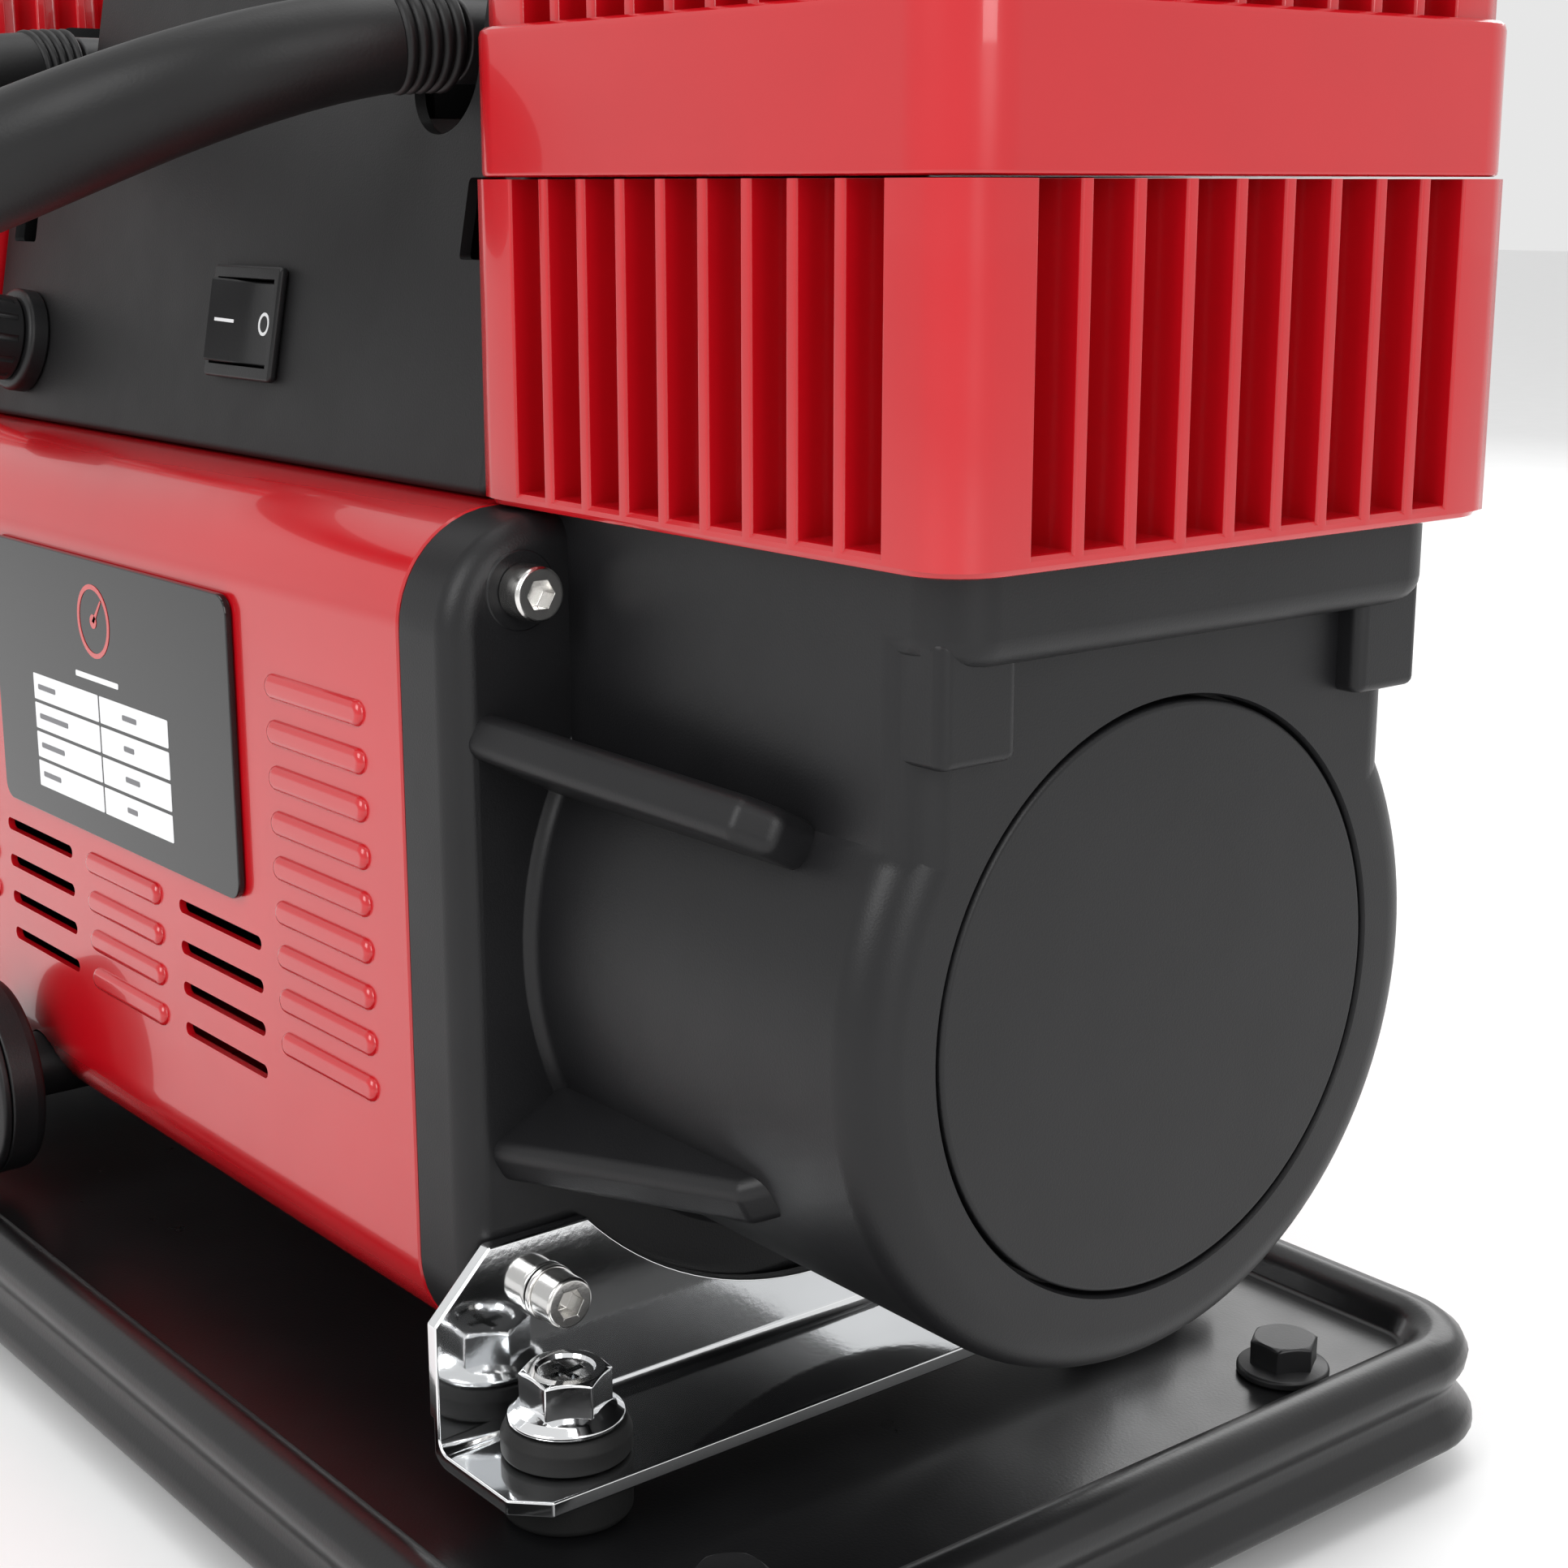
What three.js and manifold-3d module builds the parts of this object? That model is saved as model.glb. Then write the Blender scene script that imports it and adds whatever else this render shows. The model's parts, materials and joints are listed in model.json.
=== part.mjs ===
// Twin-cylinder 12 V air compressor on a pressed steel tray: two finned cylinders at the ends of one motor.
// Millimetres. +Z is up, +X runs along the motor shaft, and the switch and handle face -Y.
// The origin is on the ground under the middle of the whole object's box. "left" is -X and "right" is +X.
import * as THREE from 'three';
import { mergeVertices } from 'three/addons/utils/BufferGeometryUtils.js';
import Module from 'manifold-3d';

const wasm = await Module();
wasm.setup();

// ---- driving dimensions -------------------------------------------------------------------------------
const GAP = 0.3; // between faces that touch
const BIG_SIDES = 24; // flats round a large circle
const MID_SIDES = 16;
const SMALL_SIDES = 10;
const FIT = 0.3; // radial clearance round a pin, screw or shaft

const COVER_LENGTH = 248; // motor cover, end to end
const BODY_WIDTH = 167; // motor cover and crankcase plates, across Y
const BODY_BELOW_AXIS = 83;
const BODY_ABOVE_AXIS = 79;
const BODY_CORNER = 21;
const COVER_WALL = 1.6;
const SHAFT_HEIGHT = 127; // crankshaft axis above the ground

const FOOT_HEIGHT = 21.7;
const FOOT_RADIUS = 15;
const TRAY_SHEET = 2;
const TRAY_BEYOND_CYLINDER_AXIS = 46.5;
const TRAY_BEYOND_BODY = 35; // tray edge past the motor cover, in Y
const TRAY_CORNER = 24;
const TRAY_RIM_HEIGHT = 6.5; // rim bead above the floor
const TRAY_RIM_INSET = 16; // tray edge to the flat floor
const TRAY_SKIRT_DEPTH = 15; // floor top down to the lip
const FOOT_FROM_TRAY_END = 25.8;
const FOOT_FROM_TRAY_SIDE = 46.5;
const FOOT_SOCKET_FLOOR = 7; // rubber left under the bolt
const WELD_NUT_HEX = 13;
const WELD_NUT_HEIGHT = 6.5;

const PLATE_THICKNESS = 17.7; // crankcase plate that closes the motor cover
const PLATE_EDGE = 5.5;
const DRUM_RADIUS = 68;
const DRUM_BEYOND_CYLINDER_AXIS = 50;
const DRUM_EDGE = 8;
const CHAMBER_RADIUS = 50; // inside the drum
const CHAMBER_FROM_PLATE = 8;
const END_DISC_RADIUS = 52;
const END_DISC_THICKNESS = 5.7;
const DECK_THICKNESS = 15.2;
const DECK_EDGE = 5;
const DECK_CORNER = 9;
const PAD_HALF_WIDTH = 8; // blocks under the deck's outer corners
const PAD_PROUD = 5;
const PAD_FROM_DECK_SIDE = 9;
const PAD_BOTTOM = 30; // below the deck's top
const DECK_INSET = 6.5; // deck's ends inside the cylinder's square
const NECK_FROM_SCREW = 10; // neck and deck sides to the plate screws' axes
const DECK_ABOVE_PLATE = 0.2;
const RIB_THICKNESS = 8;
const RIB_ANGLE = 28; // above and below the horizontal, in degrees
const UPPER_RIB = { short: 23, crest: 21, tip: 13 }; // short of the drum's end, then rise at root and tip
const LOWER_RIB = { short: 31, crest: 18, tip: 4 };

const BRACKET_THICKNESS = 3;
const BRACKET_ARC_RADIUS = 80;
const BRACKET_HALF_WIDTH = 93;
const BRACKET_FOOT_LENGTH = 31.7;
const BRACKET_CORNER = 12;
const BRACKET_TOE = 6; // chamfer on the foot's outer corners
const ISOLATOR_RADIUS = 12.25;
const ISOLATOR_NECK_RADIUS = 6.7;
const ISOLATOR_LOWER = 8.4; // rubber between the tray and the bracket
const ISOLATOR_UPPER = 6.2;
const ISOLATOR_TO_WALL = 1.45; // rubber to the bracket's upright wall
const ISOLATOR_Y = 74;
const BOLT_SHANK_RADIUS = 4;
const BOLT_FLANGE_RADIUS = 10.9;
const BOLT_HEX = 15; // across flats
const BOLT_HEAD = 9; // flange and hexagon together
const BOLT_BELOW_TRAY = 5;
const FOOT_BOLT_FLANGE_RADIUS = 9.5;
const FOOT_BOLT_HEX = 12.5;
const FOOT_BOLT_HEAD = 7.5;
const FOOT_BOLT_SHANK = 14;
const SCREW_HEAD_RADIUS = 5;
const SCREW_HEAD_LENGTH = 6;
const SCREW_SHANK_RADIUS = 3;
const SCREW_DEPTH = 11;
const SCREW_FROM_SIDE = 15; // screw axis in from the plate's side
const SCREW_FROM_EDGE = 17; // screw axis in from the plate's lower edge
const LOCK_WASHER = 1.3;

const CYLINDER_SIDE = 130;
const CYLINDER_OVER_COVER = 4; // the cylinder starts this far inside the motor cover's end
const CYLINDER_HEIGHT = 57.1;
const CYLINDER_LIP = 2.5;
const CYLINDER_CORNER = 11;
const BORE_RADIUS = 30;
const FIN_COUNT = 8; // on each face
const FIN_THICKNESS = 2.8;
const FIN_DEPTH = 11;
const PILLAR_WIDTH = 16;
const HEAD_BAND_HEIGHT = 25.3;
const HEAD_FIN_HEIGHT = 25.8;
const HEAD_OVERHANG = 0.5;
const HEAD_FIN_INSET = 2.5;
const VALVE_PLATE_RADIUS = 36;
const VALVE_PLATE_THICKNESS = 3;

const STROKE = 24;
const SHAFT_RADIUS = 6;
const CRANK_PIN_RADIUS = 5;
const CRANK_WEB_RADIUS = 24;
const CRANK_WEB_THICKNESS = 12;
const CRANK_FROM_CHAMBER = 10;
const OPEN_PIVOT_GAP = 0.5; // crank pin to the rod's eye
const ROD_THICKNESS = 14;
const ROD_EYE_RADIUS = 10;
const PISTON_LENGTH = 22;
const PISTON_CLEARANCE = 0.5;
const PISTON_TOP_CLEARANCE = 1.6; // crown to the cylinder's top at the end of its stroke
const SKIRT_DEPTH = 8;
const SKIRT_WALL = 5.5;
const ROD_HALF_WIDTH = 6;
const BEARING_RADIUS = 16;
const BEARING_WIDTH = 11.7;
const BEARING_STEP = 2; // wall left beyond the bearing
const CAN_RADIUS = 58;
const CAN_WALL = 3.5;
const ROTOR_CORE_RADIUS = 42;
const ROTOR_CORE_LENGTH = 120;

const LABEL_WIDTH = 120;
const LABEL_HEIGHT = 63;
const LABEL_THICKNESS = 1.5;
const LABEL_ABOVE_AXIS = 25; // label centre above the shaft
const SLOT_WIDTH = 37.5;
const SLOT_HEIGHT = 2.8;
const SLOT_PITCH = 9.2;
const SLOT_ROWS = 4;
const SLOT_COLUMN = 46.5; // column centre either side of the middle
const SLOT_BELOW_LABEL = 8; // label edge to the first row

const SHROUD_CLEARANCE = 2; // to the cylinders on each side
const SHROUD_HEIGHT = 104.7;
const SHROUD_HALF_DEPTH = 60.8; // at the bottom
const SHROUD_LEAN = 10.6; // front and rear lean inward, in degrees
const SHROUD_SHOULDER = 68; // upper corner radius
const SHROUD_WALL = 2.4;
const HANDLE_SLOT_RADIUS = 11.4;
const HANDLE_SLOT_BELOW_PIVOT = 17.4;
const WINDOW_WIDTH = 13;
const WINDOW_HEIGHT = 15;
const WINDOW_FROM_SIDE = 6;
const WINDOW_ABOVE_BASE = 42.7;
const AXLE_WEB = 4;
const AXLE_WEB_HALF = 14;

const HANDLE_HALF_WIDTH = 86; // middle to the arm's axis
const HANDLE_PIVOT_Y = -30;
const HANDLE_PIVOT_ABOVE_BASE = 83.1;
const HANDLE_ARM_LENGTH = 15.3; // pivot to the start of the bow
const HANDLE_REACH = 86; // how far the bow swings out
const HANDLE_DROP = 30.7; // how far the middle of the bow hangs below the arms
const HANDLE_ARM_RADIUS = 8;
const HANDLE_CORE_RADIUS = 5;
const GRIP_END_RADIUS = 8.7;
const GRIP_SWELL = 3.8; // extra radius at the middle
const COLLAR_RADIUS = 9.85;
const COLLAR_LENGTH = 11.5;
const AXLE_RADIUS = 4;
const BOW_STEPS = 14;
const BOW_END = 0.006; // share of the bow that stays bare at each end
const TUBE_SIDES = 10;

const SWITCH_X = 19;
const SWITCH_ABOVE_BASE = 27.7;
const BEZEL_WIDTH = 30;
const BEZEL_HEIGHT = 24;
const BEZEL_RIM = 2.2;
const BEZEL_FLANGE = 2;
const SWITCH_DEPTH = 14;
const ROCKER_PIVOT_DEPTH = 4;
const ROCKER_TILT = 11; // each way from level, in degrees
const GLAND_X = -96;
const GLAND_ABOVE_BASE = 18.7;
const GLAND_COLLAR_RADIUS = 12.5;
const GLAND_THREAD_RADIUS = 8;
const GLAND_BORE_RADIUS = 4;
const GLAND_COLLAR_LENGTH = 5;
const GLAND_INSIDE = 12;
const GLAND_NUT_LENGTH = 12;

const PIPE_RADIUS = 6;
const PIPE_BORE_RADIUS = 4;
const PIPE_Y = 20;
const PIPE_BELOW_BAND_TOP = 13.2;
const PIPE_IN_HEAD = 8;
const COUPLER_RADIUS = 7.5;
const COUPLER_PROUD = 20; // collar and nose, past the panel
const COUPLER_COLLAR_RADIUS = 11.5;
const COUPLER_COLLAR_LENGTH = 8;
const TEE_LENGTH = 9;

const FILTER_RADIUS = 23.6;
const FILTER_LENGTH = 8.5;
const FILTER_STANDOFF = 8; // clear of the cover, on its stub
const FILTER_WALL = 4;
const FILTER_CAP_THICKNESS = 2.7;
const FILTER_STUB_RADIUS = 8;
const FILTER_STUB_INSIDE = 14; // how far the stub runs into the cover
const FILTER_X = -56;
const FILTER_BELOW_AXIS = 73.7;

// ---- places worked out from them ----------------------------------------------------------------------
const coverEnd = COVER_LENGTH / 2;
const bodyHalf = BODY_WIDTH / 2;
const bodyBottom = SHAFT_HEIGHT - BODY_BELOW_AXIS;
const bodyTop = SHAFT_HEIGHT + BODY_ABOVE_AXIS;
const cylinderX = coverEnd - CYLINDER_OVER_COVER + CYLINDER_SIDE / 2;
const plateStart = coverEnd + GAP;
const plateEnd = plateStart + PLATE_THICKNESS;
const drumEnd = cylinderX + DRUM_BEYOND_CYLINDER_AXIS;
const deckHalf = CYLINDER_SIDE / 2 - DECK_INSET;
const deckTop = bodyTop + DECK_ABOVE_PLATE;
const cylinderBase = deckTop + GAP;
const cylinderTop = cylinderBase + CYLINDER_HEIGHT;
const headBase = cylinderTop + GAP;
const headBandTop = headBase + HEAD_BAND_HEIGHT;
const headTop = headBandTop + HEAD_FIN_HEIGHT;
const headHalf = CYLINDER_SIDE / 2 + HEAD_OVERHANG;

const trayBottom = FOOT_HEIGHT + GAP;
const trayFloor = trayBottom + TRAY_SHEET;
const trayHalfX = cylinderX + TRAY_BEYOND_CYLINDER_AXIS;
const trayHalfY = bodyHalf + TRAY_BEYOND_BODY;
const footX = trayHalfX - FOOT_FROM_TRAY_END;
const footY = trayHalfY - FOOT_FROM_TRAY_SIDE;

const bracketStart = plateEnd + GAP;
const bracketEnd = bracketStart + BRACKET_THICKNESS;
const bracketBottom = trayFloor + GAP + ISOLATOR_LOWER + GAP;
const isolatorX = bracketEnd + ISOLATOR_TO_WALL + ISOLATOR_RADIUS;
const isolatorTop = bracketBottom + BRACKET_THICKNESS + GAP + ISOLATOR_UPPER;
const screwY = bodyHalf - SCREW_FROM_SIDE;
const neckHalf = screwY - NECK_FROM_SCREW;
const lowerScrewZ = bodyBottom + SCREW_FROM_EDGE;
const upperScrewZ = 2 * SHAFT_HEIGHT - lowerScrewZ;

const chamberStart = plateEnd + CHAMBER_FROM_PLATE;
const crankStart = chamberStart + CRANK_FROM_CHAMBER;
const crankEnd = crankStart + CRANK_WEB_THICKNESS;
const rodStart = cylinderX - ROD_THICKNESS / 2;
const bearingEnd = plateEnd - BEARING_STEP;

const shroudBase = bodyTop + GAP;
const shroudTop = shroudBase + SHROUD_HEIGHT;
const shroudHalf = cylinderX - CYLINDER_SIDE / 2 - SHROUD_CLEARANCE;
const lean = THREE.MathUtils.degToRad(SHROUD_LEAN);
const pivotZ = shroudBase + HANDLE_PIVOT_ABOVE_BASE;
const slotBottom = pivotZ - HANDLE_SLOT_BELOW_PIVOT;
const pipeZ = headBandTop - PIPE_BELOW_BAND_TOP;
const labelZ = SHAFT_HEIGHT + LABEL_ABOVE_AXIS;
const filterZ = SHAFT_HEIGHT - FILTER_BELOW_AXIS;
const filterFace = bodyHalf + FILTER_STANDOFF;
const frontOfShroud = (z) => -SHROUD_HALF_DEPTH + (z - shroudBase) * Math.tan(lean);

// ---- materials ----------------------------------------------------------------------------------------
const material = (color, roughness, metalness) =>
  new THREE.MeshStandardMaterial({ color, roughness, metalness });
const red = material(0xb3121b, 0.25, 0.1);
const blackPaint = material(0x141416, 0.45, 0.2);
const trayPaint = material(0x17171a, 0.4, 0.2);
const rubber = material(0x121212, 0.8, 0);
const chrome = material(0xd8dade, 0.15, 1);
const stainless = material(0xc4c6ca, 0.25, 1);
const blackSteel = material(0x1c1c1e, 0.4, 0.8);
const plastic = material(0x161618, 0.5, 0);
const steel = material(0x8d9096, 0.35, 1);
const aluminium = material(0xb4b7bb, 0.4, 1);
const brass = material(0xb8913f, 0.3, 1);
const labelBlack = material(0x101012, 0.3, 0);

// ---- solids -------------------------------------------------------------------------------------------
// A closed geometry: shared vertices, no empty faces, and every face turned outward.
function closed(geometry) {
  const bare = geometry.index ? geometry.toNonIndexed() : geometry.clone();
  bare.deleteAttribute('normal');
  bare.deleteAttribute('uv');
  const merged = mergeVertices(bare, 1e-4);
  const position = merged.attributes.position;
  const corner = (i) => new THREE.Vector3().fromBufferAttribute(position, i);
  const kept = [];
  let volume = 0;
  for (let i = 0; i < merged.index.count; i += 3) {
    const [a, b, c] = [0, 1, 2].map((k) => merged.index.getX(i + k));
    if (a === b || b === c || c === a) continue;
    kept.push(a, b, c);
    volume += corner(a).dot(corner(b).cross(corner(c)));
  }
  if (volume < 0) kept.reverse();
  merged.setIndex(kept);
  return merged;
}

function solid(geometry) {
  const { attributes, index } = closed(geometry);
  return new wasm.Manifold(new wasm.Mesh({
    numProp: 3,
    vertProperties: new Float32Array(attributes.position.array),
    triVerts: new Uint32Array(index.array),
  }));
}

function join(...geometries) {
  const [first, ...others] = geometries.map(solid);
  return fromSolid(others.reduce((whole, piece) => whole.add(piece), first));
}

function cut(geometry, ...tools) {
  return fromSolid(tools.map(solid).reduce((rest, tool) => rest.subtract(tool), solid(geometry)));
}

function common(first, second) {
  return fromSolid(solid(first).intersect(solid(second)));
}

function fromSolid(manifold) {
  const mesh = manifold.getMesh();
  const geometry = new THREE.BufferGeometry();
  geometry.setAttribute('position', new THREE.BufferAttribute(new Float32Array(mesh.vertProperties), 3));
  geometry.setIndex(new THREE.BufferAttribute(new Uint32Array(mesh.triVerts), 1));
  return geometry;
}

// A profile of [radius, along] points turned about an axis: 'x', 'y' (toward -Y) or 'z'.
function turned(profile, axis, segments) {
  const points = profile.map(([radius, along]) => new THREE.Vector2(radius, along));
  const geometry = new THREE.LatheGeometry([...points, points[0].clone()], segments);
  if (axis === 'x') return geometry.rotateZ(-Math.PI / 2);
  if (axis === 'y') return geometry.rotateX(Math.PI);
  return geometry.rotateX(Math.PI / 2);
}

const rod = (radius, start, end, axis, segments) =>
  turned([[0, start], [radius, start], [radius, end], [0, end]], axis, segments);

// A hole whose flats stay clear of a round piece of that radius.
const hole = (radius, start, end, axis, segments) =>
  rod((radius + FIT) / Math.cos(Math.PI / segments), start, end, axis, segments);

const block = (x0, y0, z0, x1, y1, z1) =>
  new THREE.BoxGeometry(x1 - x0, y1 - y0, z1 - z0).translate((x0 + x1) / 2, (y0 + y1) / 2, (z0 + z1) / 2);

// A rounded rectangle from (u0, v0) to (u1, v1) as [u, v] points.
function roundedRect(u0, v0, u1, v1, radius, steps = 3) {
  const r = Math.min(radius, (u1 - u0) / 2 - 0.1, (v1 - v0) / 2 - 0.1);
  const centres = [[u1 - r, v1 - r], [u0 + r, v1 - r], [u0 + r, v0 + r], [u1 - r, v0 + r]];
  return centres.flatMap(([u, v], quarter) =>
    Array.from({ length: steps + 1 }, (_, i) => {
      const angle = (quarter + i / steps) * Math.PI / 2;
      return [u + r * Math.cos(angle), v + r * Math.sin(angle)];
    }));
}

const outline = (points) => new THREE.Shape(points.map(([u, v]) => new THREE.Vector2(u, v)));

// An outline drawn in (Y, Z) and drawn out along X, in (X, Z) along -Y, or in (X, Y) along Z.
function prism(points, start, end, axis) {
  const geometry = new THREE.ExtrudeGeometry(outline(points), { depth: end - start, bevelEnabled: false });
  geometry.translate(0, 0, start);
  const turn = new THREE.Matrix4();
  if (axis === 'x') turn.makeBasis(vec(0, 1, 0), vec(0, 0, 1), vec(1, 0, 0));
  if (axis === 'y') turn.makeBasis(vec(1, 0, 0), vec(0, 0, 1), vec(0, -1, 0));
  return geometry.applyMatrix4(turn);
}

function vec(x, y, z) {
  return new THREE.Vector3(x, y, z);
}

// Rings of equal length joined into a skin. The ends are capped, or the last ring meets the first.
function loft(rings, ring = false) {
  const size = rings[0].length;
  const faces = [];
  const last = ring ? rings.length : rings.length - 1;
  for (let i = 0; i < last; i++) {
    for (let j = 0; j < size; j++) {
      const k = (j + 1) % size;
      const next = (i + 1) % rings.length;
      faces.push([rings[i][j], rings[i][k], rings[next][k]], [rings[i][j], rings[next][k], rings[next][j]]);
    }
  }
  if (!ring) {
    for (let j = 1; j < size - 1; j++) {
      faces.push([rings[0][0], rings[0][j + 1], rings[0][j]]);
      faces.push([rings.at(-1)[0], rings.at(-1)[j], rings.at(-1)[j + 1]]);
    }
  }
  return new THREE.BufferGeometry().setFromPoints(faces.flat());
}

// A hexagonal prism along Z.
const hexagon = (acrossFlats, start, end) =>
  rod(acrossFlats / Math.sqrt(3), start, end, 'z', 6);

const mirrored = (geometry, side) => (side < 0 ? geometry.scale(-1, 1, 1) : geometry);

const compressor = new THREE.Group();

function add(name, geometry, look, parent = compressor) {
  const mesh = new THREE.Mesh(closed(geometry), look);
  mesh.name = name;
  parent.add(mesh);
  return mesh;
}

const sides = [['left', -1], ['right', 1]];
const corners = [['front_left', -1, -1], ['front_right', 1, -1], ['rear_left', -1, 1], ['rear_right', 1, 1]];

// ---- tray, feet and fastenings ------------------------------------------------------------------------
function trayGeometry() {
  const ringAt = (inset, z) =>
    roundedRect(inset - trayHalfX, inset - trayHalfY, trayHalfX - inset, trayHalfY - inset,
      TRAY_CORNER - inset)
      .map(([x, y]) => vec(x, y, z));
  const rimTop = trayFloor + TRAY_RIM_HEIGHT;
  const lip = trayFloor - TRAY_SKIRT_DEPTH;
  const rimCentre = TRAY_RIM_INSET * 0.53;
  const groove = 4;
  const skin = [
    [TRAY_RIM_INSET, trayFloor], [TRAY_RIM_INSET - 3, rimTop - 2], [rimCentre, rimTop], [3, rimTop - 1.6],
    [1, trayFloor], [groove, trayFloor - 6], [0, lip + 3], [0.5, lip],
    [0.5 + TRAY_SHEET, lip], [TRAY_SHEET, lip + 3], [groove + TRAY_SHEET, trayFloor - 6],
    [1 + TRAY_SHEET, trayFloor - 0.6], [rimCentre, rimTop - TRAY_SHEET],
    [TRAY_RIM_INSET - 2, trayBottom + 1], [TRAY_RIM_INSET + 1, trayBottom],
  ];
  const shell = loft(skin.map(([inset, z]) => ringAt(inset, z)));
  const nutBottom = trayBottom - WELD_NUT_HEIGHT;
  const nuts = corners.map(([, sx, sy]) =>
    hexagon(WELD_NUT_HEX, nutBottom, trayBottom + 1).translate(sx * isolatorX, sy * ISOLATOR_Y, 0));
  const holes = corners.flatMap(([, sx, sy]) => [
    hole(BOLT_SHANK_RADIUS, nutBottom - 1, trayFloor + 1, 'z', SMALL_SIDES)
      .translate(sx * isolatorX, sy * ISOLATOR_Y, 0),
    hole(BOLT_SHANK_RADIUS, trayBottom - 1, trayFloor + 1, 'z', SMALL_SIDES)
      .translate(sx * footX, sy * footY, 0),
  ]);
  return cut(join(shell, ...nuts), ...holes);
}

function footGeometry() {
  const socket = BOLT_SHANK_RADIUS + FIT;
  return turned([
    [0, 0], [FOOT_RADIUS - 1.5, 0], [FOOT_RADIUS, 2.5], [FOOT_RADIUS, FOOT_HEIGHT],
    [socket, FOOT_HEIGHT], [socket, FOOT_SOCKET_FLOOR], [0, FOOT_SOCKET_FLOOR],
  ], 'z', SMALL_SIDES);
}

// A flanged hexagon bolt standing on Z = 0 with its shank below.
function boltGeometry(flangeRadius, hex, headHeight, shankLength) {
  const flange = turned([
    [0, -shankLength], [BOLT_SHANK_RADIUS, -shankLength], [BOLT_SHANK_RADIUS, 0], [flangeRadius, 0],
    [flangeRadius, 1.2], [hex / 2, 2.4], [0, 2.4],
  ], 'z', SMALL_SIDES);
  return join(flange, hexagon(hex, 1, headHeight));
}

function isolatorGeometry() {
  const bore = BOLT_SHANK_RADIUS + FIT;
  const bottom = trayFloor + GAP;
  return turned([
    [bore, bottom], [ISOLATOR_RADIUS, bottom], [ISOLATOR_RADIUS, bottom + ISOLATOR_LOWER],
    [ISOLATOR_NECK_RADIUS, bottom + ISOLATOR_LOWER], [ISOLATOR_NECK_RADIUS, isolatorTop - ISOLATOR_UPPER],
    [ISOLATOR_RADIUS, isolatorTop - ISOLATOR_UPPER], [ISOLATOR_RADIUS, isolatorTop - 1.5],
    [ISOLATOR_RADIUS - 1.5, isolatorTop], [bore, isolatorTop],
  ], 'z', SMALL_SIDES);
}

// The chromed angle that carries one crankcase: a wall with a round cut-out, on a foot.
function bracketGeometry() {
  const shoulder = lowerScrewZ + BRACKET_CORNER;
  const from = Math.acos((SHAFT_HEIGHT - shoulder) / BRACKET_ARC_RADIUS);
  const arc = Array.from({ length: 13 }, (_, i) => {
    const angle = from - (2 * from * i) / 12;
    return [BRACKET_ARC_RADIUS * Math.sin(angle), SHAFT_HEIGHT - BRACKET_ARC_RADIUS * Math.cos(angle)];
  });
  const half = BRACKET_HALF_WIDTH;
  const wall = prism([
    [-half, bracketBottom], [half, bracketBottom], [half, shoulder - BRACKET_CORNER],
    [half - BRACKET_CORNER, shoulder], ...arc, [-half + BRACKET_CORNER, shoulder],
    [-half, shoulder - BRACKET_CORNER],
  ], bracketStart, bracketEnd, 'x');
  const footEnd = bracketStart + BRACKET_FOOT_LENGTH;
  const foot = prism([
    [bracketStart, -half], [footEnd - BRACKET_TOE, -half], [footEnd, BRACKET_TOE - half],
    [footEnd, half - BRACKET_TOE], [footEnd - BRACKET_TOE, half], [bracketStart, half],
  ], bracketBottom, bracketBottom + BRACKET_THICKNESS, 'z');
  const holes = [-1, 1].flatMap((side) => [
    hole(ISOLATOR_NECK_RADIUS, bracketBottom - 1, bracketBottom + BRACKET_THICKNESS + 1, 'z', SMALL_SIDES)
      .translate(isolatorX, side * ISOLATOR_Y, 0),
    hole(SCREW_SHANK_RADIUS, bracketStart - 1, bracketEnd + 1, 'x', SMALL_SIDES)
      .translate(0, side * screwY, lowerScrewZ),
  ]);
  return cut(join(wall, foot), ...holes);
}

// A socket-head screw whose head stands on the face at `face` and whose shank runs back into the plate.
function screwGeometry(face, washer) {
  const headStart = face + GAP + washer;
  const headEnd = headStart + SCREW_HEAD_LENGTH;
  const seat = washer ? [[SCREW_HEAD_RADIUS + 0.4, face + GAP], [SCREW_HEAD_RADIUS + 0.4, headStart]] : [];
  return turned([
    [0, plateEnd - SCREW_DEPTH], [SCREW_SHANK_RADIUS, plateEnd - SCREW_DEPTH],
    [SCREW_SHANK_RADIUS, face + GAP], ...seat, [SCREW_HEAD_RADIUS, headStart],
    [SCREW_HEAD_RADIUS, headEnd - 0.6], [SCREW_HEAD_RADIUS - 0.6, headEnd], [0, headEnd],
  ], 'x', SMALL_SIDES);
}

add('base_tray', trayGeometry(), trayPaint);
for (const [place, sx, sy] of corners) {
  add(`foot_${place}`, footGeometry(), rubber).position.set(sx * footX, sy * footY, 0);
  add(`foot_bolt_${place}`, boltGeometry(FOOT_BOLT_FLANGE_RADIUS, FOOT_BOLT_HEX, FOOT_BOLT_HEAD,
    FOOT_BOLT_SHANK), blackSteel)
    .position.set(sx * footX, sy * footY, trayFloor + GAP);
  add(`isolator_${place}`, isolatorGeometry(), rubber).position.set(sx * isolatorX, sy * ISOLATOR_Y, 0);
  const reach = isolatorTop - trayBottom + BOLT_BELOW_TRAY;
  add(`bracket_bolt_${place}`, boltGeometry(BOLT_FLANGE_RADIUS, BOLT_HEX, BOLT_HEAD, reach), chrome)
    .position.set(sx * isolatorX, sy * ISOLATOR_Y, isolatorTop + GAP);
  add(`bracket_screw_${place}`, mirrored(screwGeometry(bracketEnd, LOCK_WASHER), sx), stainless)
    .position.set(0, sy * screwY, lowerScrewZ);
  add(`plate_screw_${place}`, mirrored(screwGeometry(plateEnd, 0), sx), stainless)
    .position.set(0, sy * screwY, upperScrewZ);
}
for (const [side, sign] of sides) {
  add(`mount_bracket_${side}`, mirrored(bracketGeometry(), sign), chrome);
}

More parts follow.
